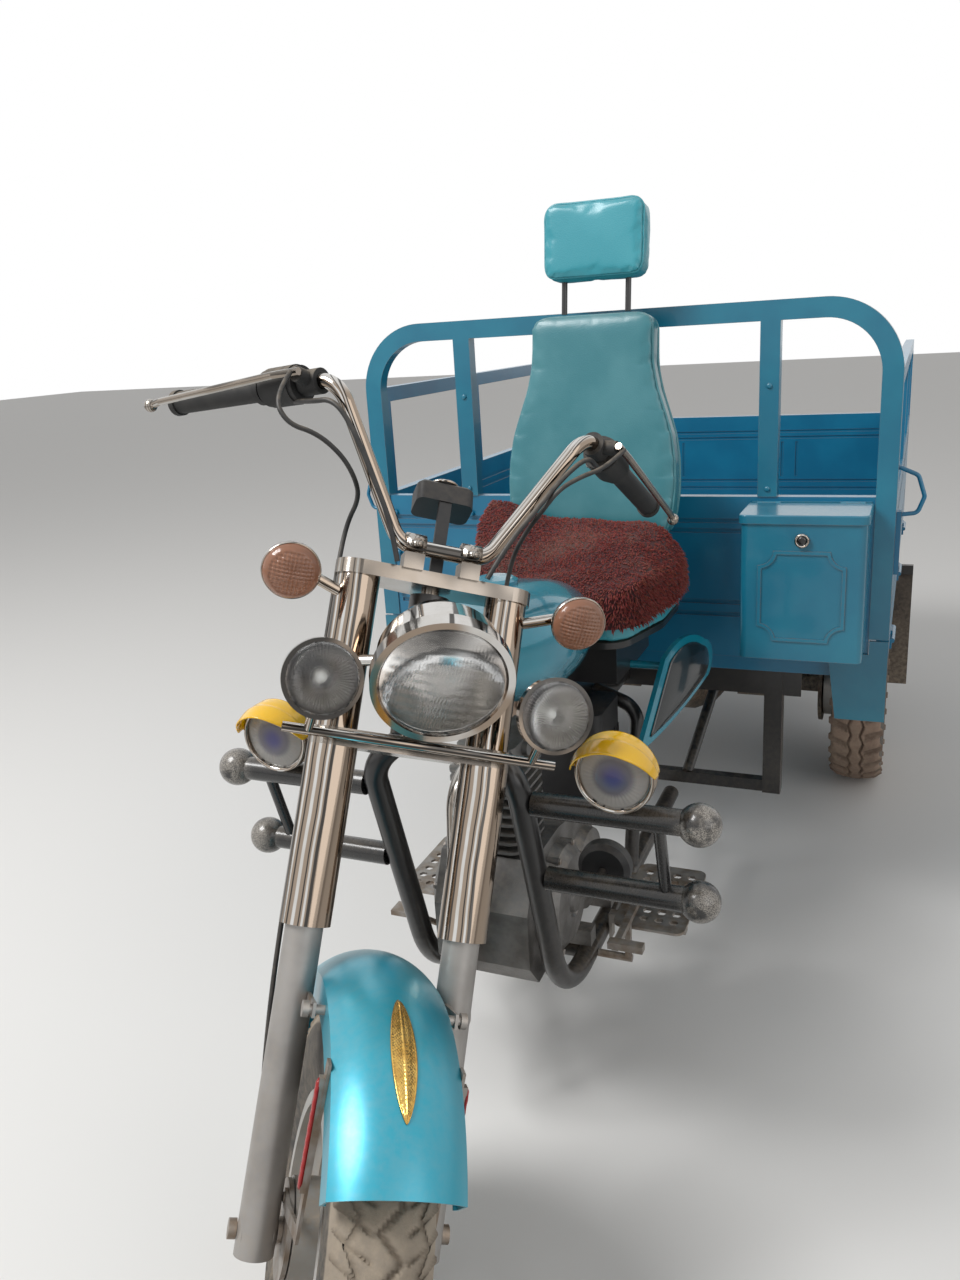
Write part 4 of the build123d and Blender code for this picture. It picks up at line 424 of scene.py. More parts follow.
# %% Paints and plastics
finish(
    "bed_enamel", (0.003, 0.140, 0.262), (0.005, 0.172, 0.305), 0.33, coat=0.3, dusty=0.2, wear=0.5,
    under=(0.16, 0.08, 0.045), scale=6.0, bump=0.08,
)
finish(
    "hoop_enamel", (0.005, 0.142, 0.230), (0.009, 0.178, 0.268), 0.32, coat=0.4, dusty=0.16, wear=0.45,
    under=(0.2, 0.11, 0.06), scale=7.0, bump=0.08,
)
finish(
    "tank_lacquer", (0.003, 0.22, 0.32), (0.006, 0.26, 0.36), 0.24, metallic=0.3, coat=0.8, dusty=0.14,
    scale=9.0, bump=0.03,
)
finish(
    "fender_lacquer", (0.008, 0.32, 0.44), (0.014, 0.355, 0.47), 0.34, metallic=0.4, coat=0.7, dusty=0.12, low=0.25,
    wear=0.2, under=(0.25, 0.2, 0.15), scale=4.0, bump=0.04, coat_rough=0.3,
)
finish(
    "black_enamel", (0.009, 0.009, 0.010), (0.016, 0.015, 0.015), 0.32, coat=0.2, dusty=0.22, wear=0.3,
    under=(0.12, 0.085, 0.065), scale=14.0,
)
finish("inlay_black", (0.010, 0.013, 0.015), (0.016, 0.021, 0.024), 0.2, coat=0.6, dusty=0.16, low=0.0, scale=8.0)
finish("cable_sheath", (0.012, 0.012, 0.012), (0.03, 0.028, 0.026), 0.5, scale=40.0, bump=0.2)
finish("pale_button", (0.30, 0.30, 0.28), (0.22, 0.22, 0.20), 0.45, scale=50.0)
finish("red_button", (0.42, 0.014, 0.012), (0.30, 0.012, 0.010), 0.4, scale=50.0)
finish("dial_black", (0.006, 0.006, 0.007), (0.014, 0.014, 0.014), 0.15, coat=0.7, dusty=0.12, scale=30.0)
finish(
    "black_moulding", (0.010, 0.010, 0.011), (0.015, 0.015, 0.016), 0.5, dusty=0.12, low=0.3, scale=20.0, bump=0.3,
    bump_size=0.0004,
)
finish("grip_rubber", (0.014, 0.014, 0.014), (0.024, 0.023, 0.022), 0.72, dusty=0.35, scale=24.0, bump=0.3)
finish(
    "flap_rubber", (0.10, 0.082, 0.068), (0.055, 0.045, 0.04), 0.85, dusty=0.7, low=0.9, scale=9.0, bump=0.5,
    bump_size=0.0015,
)

# %% Metals
# the bands value sets how strongly chrome, dull chrome and gilt carry the painted reflection
finish(
    "chrome", (0.66, 0.65, 0.63), (0.58, 0.56, 0.53), 0.08, metallic=1.0, dusty=0.10, low=0.25, scale=20.0,
    bump=0.03, rough_swing=0.06, bands=0.95,
)
finish(
    "dull_chrome", (0.5, 0.49, 0.47), (0.38, 0.36, 0.33), 0.22, metallic=1.0, dusty=0.25, scale=18.0, bump=0.06,
    bands=0.7,
)
finish("leg_alloy", (0.34, 0.325, 0.31), (0.28, 0.265, 0.25), 0.42, metallic=0.5, low=0.6, scale=16.0)
finish(
    "gilt", (0.80, 0.52, 0.14), (0.62, 0.36, 0.08), 0.18, metallic=1.0, dusty=0.12, low=0.1, scale=60.0, bands=0.75,
)
finish(
    "cast_alloy", (0.20, 0.195, 0.19), (0.12, 0.115, 0.11), 0.5, metallic=0.8, dusty=0.32, scale=22.0, bump=0.45,
    bump_size=0.0009,
)
finish("bare_steel", (0.34, 0.32, 0.3), (0.2, 0.15, 0.11), 0.45, metallic=0.8, scale=26.0, bump=0.25)
finish(
    "axle_iron", (0.03, 0.028, 0.026), (0.09, 0.05, 0.03), 0.62, metallic=0.2, dusty=0.7, low=0.8, wear=0.5,
    under=(0.2, 0.09, 0.045), scale=16.0, bump=0.4, bump_size=0.001,
)
finish(
    "rim_silver", (0.42, 0.42, 0.41), (0.34, 0.33, 0.31), 0.4, metallic=0.5, dusty=0.6, low=0.8, wear=0.4,
    under=(0.22, 0.11, 0.06), scale=14.0,
)
finish(
    "reflector_foil", (0.50, 0.475, 0.44), (0.36, 0.34, 0.31), 0.24, metallic=0.9, dusty=0.0, scale=30.0, bump=0.02,
)
print("finishes", len(finishes))

# %% [markdown]
# ## Glass and lenses
#
# Glass keeps a plain transmission weight and a little tint. The yellow hoods over the fog lamps
# and the amber lenses are cast plastic: they let light through but colour it strongly.


# %% Lens materials
def lens(name, colour, roughness, transmission, coat=0.0):
    """Clear or coloured lens, its surface faintly uneven."""
    glass = {"Roughness": roughness, "Transmission_Weight": transmission, "IOR": 1.45}
    tree = new_material(name, Base_Color=colour, Coat_Weight=coat, **glass)
    emboss(tree, group(tree, mottle, Scale=30.0)["Fine"], 0.05, 0.001)
    return tree


lens("clear_glass", (0.95, 0.96, 0.97), 0.03, 1.0)
lens("amber_lens", (0.40, 0.19, 0.115), 0.12, 0.4)
lens("red_lens", (0.45, 0.015, 0.015), 0.15, 0.35)
lens("yellow_hood", (1.0, 0.60, 0.004), 0.12, 0.25, coat=0.4)
finish("frosted_bulb", (0.80, 0.79, 0.74), (0.70, 0.69, 0.64), 0.3, dusty=0.05, scale=60.0)

# %% [markdown]
# ### Finishes that change over the piece
#
# The fog glass has a painted reflection, blue in the middle, and is clear at its rim; its tint follows
# a number stored per vertex. The crash bar is chalky only at the two balls that stand out furthest
# to the sides.


# %% Fog glass and crash bar
def stored(tree, name):
    """The number stored under a name for each vertex."""
    return add(tree, "ShaderNodeAttribute", attribute_name=name).outputs["Fac"]


tree = lens("fog_glass", (0.5, 0.52, 0.6), 0.05, 0.55)
from_middle = stored(tree, "ring")
# painted reflection: a blue-violet patch in the middle of the glass that fades out towards the rim
painted_blue_reflection = mix_colour(tree, ramp(tree, from_middle, 0.08, 0.50), (0.17, 0.16, 0.44), (0.30, 0.29, 0.34))
shade(tree, Base_Color=mix_colour(tree, ramp(tree, from_middle, 0.48, 0.70), painted_blue_reflection, (0.60, 0.58, 0.55)))

BALL_START, BALL_FULL = 0.338, 0.375
tree = finish(
    "crash_enamel", (0.010, 0.010, 0.011), (0.020, 0.019, 0.018), 0.28, coat=0.3, dusty=0.2, low=0.3, wear=0.3,
    under=(0.14, 0.1, 0.075), scale=14.0,
)
sideways_off = calc(tree, "ABSOLUTE", parts_of(tree, object_place(tree))["X"])
flecks = group(tree, mottle, Scale=26.0)
chalk = calc(tree, "MULTIPLY", ramp(tree, sideways_off, BALL_START, BALL_FULL), ramp(tree, flecks["Fine"], 0.38, 0.60))
chalk = calc(tree, "MULTIPLY", chalk, ramp(tree, flecks["Broad"], 0.38, 0.55))
plain = tree.nodes["Principled BSDF"].inputs["Base Color"].links[0].from_socket
shade(tree, Base_Color=mix_colour(tree, chalk, plain, (0.36, 0.33, 0.29)))

# %% [markdown]
# ## Paint the CAD solids
#
# A solid whose shape is already right only needs its finish. The table pairs each finish with the
# pieces that wear it.

# %% Dress the solids
DRESS = {
    "black_enamel": "frame_main bed_frame seat_frame",
    "crash_enamel": "crash_bar",
    "cast_alloy": "engine",
    "dull_chrome": "exhaust fork_yokes levers",
    "tank_lacquer": "fuel_tank side_covers backrest headrest",
    "black_moulding": "air_box horn instrument",
    "bare_steel": "footplates foot_controls front_axle fender_stays",
    "bed_enamel": "bed_floor front_board gate_left gate_right tailgate",
    "hoop_enamel": "headboard tool_box tool_box_lid skirts",
    "axle_iron": "leaf_springs rear_axle",
    "flap_rubber": "mud_flaps",
    "red_lens": "tail_lamps",
    "chrome": "fog_lamps fork_covers handlebar headlight lamp_bar fender_ornament",
    "clear_glass": "fog_lenses lamp_lenses",
    "yellow_hood": "fog_visors",
    "leg_alloy": "fork_lowers",
    "amber_lens": "signal_lenses",
    "fender_lacquer": "front_fender",
    "rim_silver": "front_rim rear_rim_left rear_rim_right",
    "grip_rubber": "hand_controls front_tyre rear_tyre_left rear_tyre_right seat_cushion seat_rug",
}
finish_of = {node: name for name, worn_by in DRESS.items() for node in worn_by.split()}
for node_name, node in nodes.items():
    node.data.materials.clear()
    node.data.materials.append(finishes[finish_of[node_name]])

# %% [markdown]
# ## Curves and closed loops
#
# Profiles and outlines are short lists of points. Three helpers work on them: one draws a circle
# through three points, one spreads points evenly along a line and one evens out a closed loop.


# %% Curves
def arc3(first, middle, last, count):
    """Points on the circle through three points, from the first to the last."""
    (ax, ay), (bx, by), (cx, cy) = first, middle, last
    d = 2 * (ax * (by - cy) + bx * (cy - ay) + cx * (ay - by))
    a2, b2, c2 = ax * ax + ay * ay, bx * bx + by * by, cx * cx + cy * cy
    ux = (a2 * (by - cy) + b2 * (cy - ay) + c2 * (ay - by)) / d
    uy = (a2 * (cx - bx) + b2 * (ax - cx) + c2 * (bx - ax)) / d
    start, mid, end = (math.atan2(y - uy, x - ux) for x, y in (first, middle, last))
    turn = (mid - start + math.pi) % (2 * math.pi) - math.pi
    turn += (end - mid + math.pi) % (2 * math.pi) - math.pi
    t = start + turn * np.linspace(0, 1, count)
    radius = math.hypot(ax - ux, ay - uy)
    return np.stack([ux + radius * np.cos(t), uy + radius * np.sin(t)], 1)


def evenly(corners, count, closed=False):
    """Points spread evenly by length along a line of corners, back to its start where it is closed."""
    p = np.asarray(corners, float)
    if closed:
        p = np.vstack([p, p[:1]])
    run = np.r_[0, np.cumsum(np.linalg.norm(np.diff(p, axis=0), axis=1))]
    t = np.linspace(0, run[-1], count, endpoint=not closed)
    return np.stack([np.interp(t, run, p[:, k]) for k in range(p.shape[1])], 1)


def smoothed(loop, rounds=1, stride=1):
    """A closed loop evened out: each point becomes half itself and a quarter of each neighbour."""
    for _ in range(rounds):
        loop = (np.roll(loop, stride, 0) + 2 * loop + np.roll(loop, -stride, 0)) / 4
    return loop


# %% [markdown]
# ## Tyres
#
# A motorcycle tyre is round in section and carries a zigzag tread so that it grips while it leans;
# the rear ones are squarer, with open shoulder lugs for soft ground. The surface is a torus grid:
# one parameter goes round the wheel, the other round the section. Grooves push the crown inward,
# and their depth is stored per vertex so that the finish can paint them as dusty rubber in painted shade.


# %% Tread patterns
def triangle_wave(x):
    """Goes from -1 to 1 and back once per unit of x."""
    return 4 * np.abs(x - np.floor(x + 0.5)) - 1


def step(x, low, high):
    """Smooth step from 0 below low to 1 above high."""
    t = np.clip((x - low) / (high - low), 0, 1)
    return t * t * (3 - 2 * t)


def groove_line(distance, half_width):
    """1 in the middle of a groove, 0 outside it, with sloped walls."""
    return 1 - step(np.abs(distance), half_width * 0.6, half_width * 1.3)


def front_tread(p, q):
    """Zigzag grooves: one down the middle, one on each side, and slanted sipes between them."""
    middle = groove_line(p - 0.16 * triangle_wave(q), 0.05)
    sides = groove_line(np.abs(p) - 0.52 - 0.10 * triangle_wave(q + 0.25), 0.045)
    slant = groove_line(triangle_wave(q + 0.9 * np.abs(p)) * 0.25, 0.05) * step(np.abs(p), 0.2, 0.3)
    slant *= 1 - step(np.abs(p), 0.86, 0.95)
    return np.maximum(np.maximum(middle, sides), slant)


def rear_tread(p, q):
    """A zigzag rib in the middle and open lugs at both shoulders."""
    rib = groove_line(np.abs(p) - 0.26 - 0.07 * triangle_wave(q), 0.05)
    side = np.sign(p) * 0.25
    lugs = step(triangle_wave(q + side + 0.35 * np.abs(p)), 0.1, 0.35) * step(np.abs(p), 0.33, 0.4)
    return np.maximum(rib, lugs * (1 - step(np.abs(p), 1.05, 1.2)))


# %% Tyre surface
BEAD_R = 0.152
LIP_R = BEAD_R + 0.013
BEAD_SHARE = 0.78
RIM_GAP = 0.0004


def tyre_section(half, crown, bead_x):
    """Closed profile of (x, r): a wall, the crown, the wall mirrored and the foot over the rim."""
    foot = [(bead_x, BEAD_R + RIM_GAP), (-bead_x, BEAD_R + RIM_GAP)]
    return np.vstack([half, crown, half[::-1] * [-1, 1], foot])


def road_tyre(name, centre, basis, section, crown_rows, tread, pitches, depth, around):
    """Torus grid: place = centre + x · axle + r (cos a · e1 + sin a · e2), r cut by the tread's depth.

    section lists (x, r) round the closed profile; crown_rows is its slice that carries tread.
    """
    a = np.linspace(0, 2 * np.pi, around, endpoint=False)
    rows = np.arange(len(section))
    first, last = crown_rows
    p = np.clip((rows - first) / (last - first) * 2 - 1, -1.5, 1.5)
    off_crown = (rows < first - 4) | (rows > last + 4)
    p = np.where(off_crown, 9.0, p)
    cut = tread(p[None, :], a[:, None] * pitches / (2 * np.pi)) * ~off_crown[None, :]
    edge_x = np.gradient(section[:, 0])
    edge_r = np.gradient(section[:, 1])
    size = np.hypot(edge_x, edge_r) + 1e-12
    x = section[:, 0][None] - cut * depth * (edge_r / size)[None]
    r = section[:, 1][None] - cut * depth * np.abs(edge_x / size)[None]
    e0, e1, e2 = basis
    spoke = np.cos(a)[:, None, None] * e1 + np.sin(a)[:, None, None] * e2
    verts = centre + x[..., None] * e0 + r[..., None] * spoke
    piece = mesh_piece(name, verts, grid_faces(around, len(section), True, True))
    with_attribute(piece, "groove", cut)
    with_attribute(piece, "crown", np.broadcast_to(np.abs(p) < 1.1, cut.shape))
    return outward(piece)


# %% Tyre finish
def tyre_finish(name, top, shaded_groove_dust, wall):
    """Dusty rubber: worn tread tops, grooves in the tread's dust tone darkened as painted shade, darker walls with a
    dusty film.
    """
    tree = new_material(name, Roughness=0.82)
    patches = group(tree, mottle, Scale=14.0)
    tone = ramp(tree, patches["Broad"], 0.3, 0.75)
    sides = mix_colour(tree, tone, wall, times(wall, 1.7))
    worn = mix_colour(tree, tone, top, times(top, 1.35))
    base = mix_colour(tree, stored(tree, "crown"), sides, worn)
    # painted shade: the grooves take the tread's dust tone at about half its brightness
    base = mix_colour(tree, calc(tree, "MULTIPLY", stored(tree, "groove"), 0.8), base, shaded_groove_dust)
    shade(tree, Base_Color=dusted(tree, base, 0.5, 0.8)[0])
    emboss(tree, patches["Fine"], 0.5, 0.0012)


# the second colour is the grooves' painted shade: the top colour at about half brightness
tyre_finish("front_rubber", (0.25, 0.21, 0.165), (0.12, 0.095, 0.07), (0.035, 0.033, 0.03))
tyre_finish("rear_rubber", (0.20, 0.135, 0.10), (0.12, 0.08, 0.06), (0.04, 0.036, 0.033))

# %% Front tyre
wheel_centre = np.array(joints["front_wheel_spin"]["pos_m"])
tyre_r, tyre_half = 0.295, 0.061
wall_r = tyre_r - tyre_half
mid_r = (wall_r + LIP_R) / 2 + 0.006
bead_x = tyre_half * BEAD_SHARE
wall = arc3((-bead_x, LIP_R), (-tyre_half * 0.96, mid_r), (-tyre_half, wall_r), 14)
crown = arc3((-tyre_half, wall_r), (0, tyre_r), (tyre_half, wall_r), 49)
section = tyre_section(wall[:-1], crown, bead_x)
r = section[:, 1]
ribs = 0.0011 * np.sin((r - LIP_R) * 520) * (r < wall_r - 0.004) * (r > LIP_R + 0.006)
section[:, 0] -= np.sign(section[:, 0]) * np.abs(ribs)
front_tyre = road_tyre(
    "front_tyre_tread", wheel_centre, fork_basis, section, (18, 56), front_tread, pitches=34, depth=0.0065, around=646,
)
hand_over(front_tyre, "front_rubber", "front_wheel", "front_tyre")

# %% Rear tyres
tyre_r, tyre_half = 0.282, 0.065
wall_r = tyre_r - 0.027
shoulder_x, shoulder_r = tyre_half * 0.72, tyre_r - 0.006
bead_x = tyre_half * BEAD_SHARE
wall = arc3((-bead_x, LIP_R), (-tyre_half * 0.995, LIP_R + 0.03), (-tyre_half, wall_r), 14)
corner = arc3((-tyre_half, wall_r), (-tyre_half * 0.93, tyre_r - 0.0125), (-shoulder_x, shoulder_r), 9)
crown = arc3((-shoulder_x, shoulder_r), (0, tyre_r), (shoulder_x, shoulder_r), 35)
section = tyre_section(np.vstack([wall[:-1], corner[:-1]]), crown, bead_x)
for side_name in ("left", "right"):
    hub = np.array(joints[f"rear_wheel_{side_name}_spin"]["pos_m"])
    rear_tyre = road_tyre(
        f"rear_tyre_{side_name}_tread", hub, np.eye(3), section, (16, 60), rear_tread, pitches=30, depth=0.009,
        around=540,
    )
    hand_over(rear_tyre, "rear_rubber", f"rear_wheel_{side_name}", f"rear_tyre_{side_name}")
print("tyre faces", len(front_tyre.data.polygons), len(rear_tyre.data.polygons))

# %% [markdown]
# ## Stuffed pads
#
# The backrest, headrest and saddle are foam under stretched vinyl. The foam presses outward, so
# flat panels crown and edges round off. The CAD block is remeshed evenly, made a little smaller and
# blown up for a few frames of cloth simulation without gravity; how far a point may move is capped.
# Seams are pulled in afterwards, because a remesh would blur them.


# %% The stuffing helper
CLOTH_FRAMES = 20
CLOTH_PRESSURE = 4.0


def as_shown(piece):
    """A new mesh of a piece as its modifiers or its curve leave it."""
    return bpy.data.meshes.new_from_object(piece.evaluated_get(bpy.context.evaluated_depsgraph_get()))


def stuffed(name, node, shrink, cap, voxel=0.006):
    """A pad blown up by cloth pressure from a slightly smaller copy of a CAD block."""
    mesh = nodes[node].data.copy()
    mesh.transform(nodes[node].matrix_world)
    mesh.materials.clear()
    mesh.name = name
    pad = outward(new_object(name, mesh), weld=1e-5)
    places = vertex_array(pad.data)
    centre = (places.min(0) + places.max(0)) / 2
    size = np.ptp(places, axis=0)
    move_vertices(pad, centre + (places - centre) * (size - 2 * shrink) / size)
    remesh = pad.modifiers.new("even", "REMESH")
    remesh.mode = "VOXEL"
    remesh.voxel_size = voxel
    pad.data = as_shown(pad)
    pad.modifiers.clear()
    before = vertex_array(pad.data)
    cloth = pad.modifiers.new("cloth", "CLOTH")
    cloth.settings.use_pressure = True
    cloth.settings.uniform_pressure_force = CLOTH_PRESSURE
    cloth.settings.effector_weights.gravity = 0.0
    cloth.settings.quality = 5
    cloth.point_cache.frame_start = 1
    cloth.point_cache.frame_end = CLOTH_FRAMES
    for f in range(1, CLOTH_FRAMES + 1):
        bpy.context.scene.frame_set(f)
    blown = as_shown(pad)
    pad.modifiers.clear()
    bpy.context.scene.frame_set(1)
    moved = vertex_array(blown) - before
    length = np.linalg.norm(moved, axis=1, keepdims=True)
    moved *= np.minimum(1, cap / np.maximum(length, 1e-9))
    move_vertices(pad, before + moved)
    print(name, "moved up to", round(float(length.max()) * 1000, 1), "mm")
    pad.data.update()
    return pad


# %% Seams and piping
SEAM_WIDTH = 0.006


def pinch(pad, lines, depth):
    """Pulls a pad in along seam lines: move = -depth · exp(-(d / width)²) along the normal, d from the line."""
    tree = KDTree(len(lines))
    for i, point in enumerate(lines):
        tree.insert(point, i)
    tree.balance()
    places = vertex_array(pad.data)
    near = np.array([tree.find(place)[2] for place in places])
    pull = depth * np.exp(-((near / SEAM_WIDTH) ** 2))
    move_vertices(pad, places - vertex_array(pad.data, "normal") * pull[:, None])
    with_attribute(pad, "seam", np.exp(-((near / (SEAM_WIDTH * 0.7)) ** 2)))
    pad.data.update()


def on_surface(pad, points, lift=0.0):
    """A loop carried to the nearest places on a pad, lifted off it along its normal and evened out."""
    tree = BVHTree.FromObject(pad, bpy.context.evaluated_depsgraph_get())
    found = [tree.find_nearest(Vector(point)) for point in points]
    return smoothed(np.array([np.array(place) + np.array(normal) * lift for place, normal, _, _ in found]))


def tube(name, path, radius, sides=8):
    """A closed tube: ring point = path + radius (cos a · n + sin a · b), with n, b square to the path."""
    tangent = np.roll(path, -1, 0) - np.roll(path, 1, 0)
    tangent /= np.linalg.norm(tangent, axis=1, keepdims=True)
    guide = np.cross(tangent, tangent[len(path) // 2] + np.array([0.31, 0.17, 0.93]))
    guide /= np.linalg.norm(guide, axis=1, keepdims=True)
    other = np.cross(tangent, guide)
    a = np.linspace(0, 2 * np.pi, sides, endpoint=False)[None, :, None]
    verts = path[:, None] + radius * (np.cos(a) * guide[:, None] + np.sin(a) * other[:, None])
    return outward(mesh_piece(name, verts, grid_faces(len(path), sides, True, True)))


def finish_pad(pad, finish_name, node):
    """Smooths and dresses a pad, hangs it on the chassis and hides its CAD node."""
    pad.data.shade_smooth()
    pad.data.materials.clear()
    rounder = pad.modifiers.new("rounder", "SUBSURF")
    rounder.levels = 1
    rounder.render_levels = 1
    hand_over(pad, finish_name, "chassis", node)


# %% Vinyl
def vinyl(name, colour, second, gloss):
    """Stretched vinyl: fine leather grain, darker in its seams, dust on top."""
    tree = new_material(name, Roughness=gloss, Coat_Weight=0.3, Coat_Roughness=0.25)
    patches = group(tree, mottle, Scale=8.0)
    base = mix_colour(tree, ramp(tree, patches["Broad"], 0.35, 0.7), colour, second)
    base = mix_colour(tree, calc(tree, "MULTIPLY", stored(tree, "seam"), 0.55), base, times(colour, 0.35))
    shade(tree, Base_Color=dusted(tree, base, 0.2, 0.0)[0])
    grain = add(tree, "ShaderNodeTexVoronoi", Scale=420.0, Vector=object_place(tree))
    emboss(tree, grain.outputs["Distance"], 0.28, 0.0006)


vinyl("bright_vinyl", (0.026, 0.27, 0.33), (0.040, 0.30, 0.36), 0.36)
vinyl("pale_vinyl", (0.030, 0.175, 0.208), (0.055, 0.215, 0.248), 0.34)
vinyl("piping_vinyl", (0.045, 0.215, 0.25), (0.06, 0.24, 0.275), 0.34)

# %% [markdown]
# ### Backrest
#
# It leans back eight degrees: straight at the top, it swells below a waist and rounds off at the
# foot. The CAD block has that outline in straight runs, so each row of the pad is stretched to the
# smooth half width. Piping follows the seam where the front panel meets the side wall.

# %% Places on the backrest
lean = math.radians(8.0)
BACK_LOW, BACK_HIGH, BACK_THICK = 0.935, 1.392, 0.072
back_n = np.array([0, -math.cos(lean), math.sin(lean)])
back_up = np.array([0, math.sin(lean), math.cos(lean)])
back_height = (BACK_HIGH - BACK_LOW) / math.cos(lean)
back_foot = np.array([0, bed_front - 0.127 + 0.140 * math.tan(lean), BACK_LOW])


def on_back(x, up, out):
    """Row-frame places from x, height along the leaning rear face and distance in front of it."""
    x, up, out = np.broadcast_arrays(np.asarray(x, float), up, out)
    return back_foot + x[..., None] * LEFT + up[..., None] * back_up + out[..., None] * back_n


# %% Backrest pad
block_up = np.array([0, 0.46, 0.70, 0.80, 1.0])
block_half = np.array([0.182, 0.186, 0.152, 0.138, 0.134])
pad_up = np.array([0, 0.05, 0.12, 0.22, 0.34, 0.46, 0.56, 0.66, 0.76, 0.88, 0.97, 1.0])
pad_half = np.array([0.164, 0.175, 0.184, 0.188, 0.187, 0.178, 0.163, 0.147, 0.137, 0.133, 0.131, 0.124])
rows_up = np.linspace(0, 1, 90)
half_outline = np.stack([np.interp(rows_up, pad_up, pad_half), rows_up * back_height], 1)
outline = evenly(np.vstack([half_outline, half_outline[::-1] * [-1, 1]]), 260, closed=True)
outline = smoothed(outline, 6, stride=3)
backrest_pad = stuffed("backrest_pad", "backrest", shrink=0.0035, cap=0.005)
places = vertex_array(backrest_pad.data)
share = np.clip(((places - back_foot) @ back_up) / back_height, 0, 1)
places[:, 0] *= np.interp(share, pad_up, pad_half) / np.interp(share, block_up, block_half)
move_vertices(backrest_pad, places)
loops = {
    label: on_back(outline[:, 0] * 0.985, outline[:, 1] * 0.985 + 0.003, out)
    for label, out in (("front", BACK_THICK - 0.012), ("rear", 0.010))
}
pinch(backrest_pad, on_surface(backrest_pad, np.vstack([loops["front"], loops["rear"]])), depth=0.003)
for label, loop in loops.items():
    path = smoothed(on_surface(backrest_pad, loop, lift=0.0008), 8)
    piping = tube(f"backrest_piping_{label}", path, radius=0.0034)
    hand_over(piping, "piping_vinyl", "chassis")
finish_pad(backrest_pad, "pale_vinyl", "backrest")


# %% Headrest pad
def soft_box(half_x, half_y, power):
    """A rectangle with soft corners: half size times the sign and a power of the cosine and sine."""
    a = np.linspace(0, 2 * np.pi, 200, endpoint=False)
    x = half_x * np.sign(np.cos(a)) * np.abs(np.cos(a)) ** power
    return x, half_y * np.sign(np.sin(a)) * np.abs(np.sin(a)) ** power


REST_LOW, REST_HIGH = 1.455, 1.610
rest_up = ((REST_LOW + REST_HIGH) / 2 - BACK_LOW) / math.cos(lean)
loop_x, loop_y = soft_box(0.108, 0.0775, 2 / 5.5)
headrest_pad = stuffed("headrest_pad", "headrest", shrink=0.0025, cap=0.0032, voxel=0.0045)
front_loop = on_back(loop_x * 0.97, rest_up + loop_y * 0.97, 0.066 - 0.010)
pinch(headrest_pad, on_surface(headrest_pad, front_loop), depth=0.0016)
path = smoothed(on_surface(headrest_pad, front_loop, lift=0.0006), 6)
piping = tube("headrest_piping", path, radius=0.0028)
hand_over(piping, "bright_vinyl", "chassis")
finish_pad(headrest_pad, "bright_vinyl", "headrest")

# %% Saddle cushion
cushion_pad = stuffed("cushion_pad", "seat_cushion", shrink=0.004, cap=0.006)
low, high = (np.array(v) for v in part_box("seat_cushion"))
middle, half = (low + high) / 2, (high - low) / 2
loop_x, loop_y = soft_box(half[0], half[1], 0.3)
hoop = np.stack([middle[0] + loop_x, middle[1] + loop_y, np.full(len(loop_x), low[2] + 0.042)], 1)
pinch(cushion_pad, on_surface(cushion_pad, hoop), depth=0.003)
finish_pad(cushion_pad, "bright_vinyl", "seat_cushion")
print("pads", [len(pad.data.vertices) for pad in (backrest_pad, headrest_pad, cushion_pad)])

# %% [markdown]
# ### The pile rug
#
# A thick rug lies over the saddle. Its body is a soft slab with a few folds; its pile is thousands
# of short curved tufts. Each tuft is a thin tapered blade that starts square to the rug, leans its
# own way and droops under its weight. All tufts are one mesh, made as arrays in one go.

# %% Rug body
rug = stuffed("rug_body", "seat_rug", shrink=0.002, cap=0.004)
places = vertex_array(rug.data)
fold = np.sin(places[:, 0] * 31 + 4 * np.sin(places[:, 1] * 19)) * np.sin(places[:, 1] * 23 + 1.3)
outer_side = np.clip(vertex_array(rug.data, "normal")[:, 2] * 2 - 0.5, 0, 1)
toward_rear = step(places[:, 1], bed_front - 0.40, bed_front - 0.22)
shoulder_lift = 0.034 * toward_rear * step(np.abs(places[:, 0]), 0.05, 0.17)
places[:, 2] += outer_side * (-0.004 + 0.0035 * fold + shoulder_lift)
move_vertices(rug, places)


# %% Tufts
JOINTS_UP = 3


def unit(vectors):
    """Vectors cut or stretched to length one."""
    return vectors / np.linalg.norm(vectors, axis=1, keepdims=True)


def roots(piece, centre, count):
    """Random places on a piece's outer side, spread by area, with the surface's normal at each."""
    piece.data.calc_loop_triangles()
    tris = np.empty(len(piece.data.loop_triangles) * 3, np.int32)
    piece.data.loop_triangles.foreach_get("vertices", tris)
    tris = tris.reshape(-1, 3)
    corners = vertex_array(piece.data)[tris]
    cross = np.cross(corners[:, 1] - corners[:, 0], corners[:, 2] - corners[:, 0])
    area = np.linalg.norm(cross, axis=1)
    face_n = cross / (area[:, None] + 1e-12)
    visible = (np.einsum("ij,ij->i", face_n, corners.mean(1) - centre) > 0.01) & (face_n[:, 2] > -0.3)
    weight = area * visible
    chosen = rng.choice(len(tris), count, p=weight / weight.sum())
    b = rng.random((count, 2))
    b = np.where(b.sum(1, keepdims=True) > 1, 1 - b, b)
    w = np.column_stack([1 - b.sum(1), b])
    root = np.einsum("ij,ijk->ik", w, corners[chosen])
    return root, unit(np.einsum("ij,ijk->ik", w, vertex_array(piece.data, "normal")[tris[chosen]]))


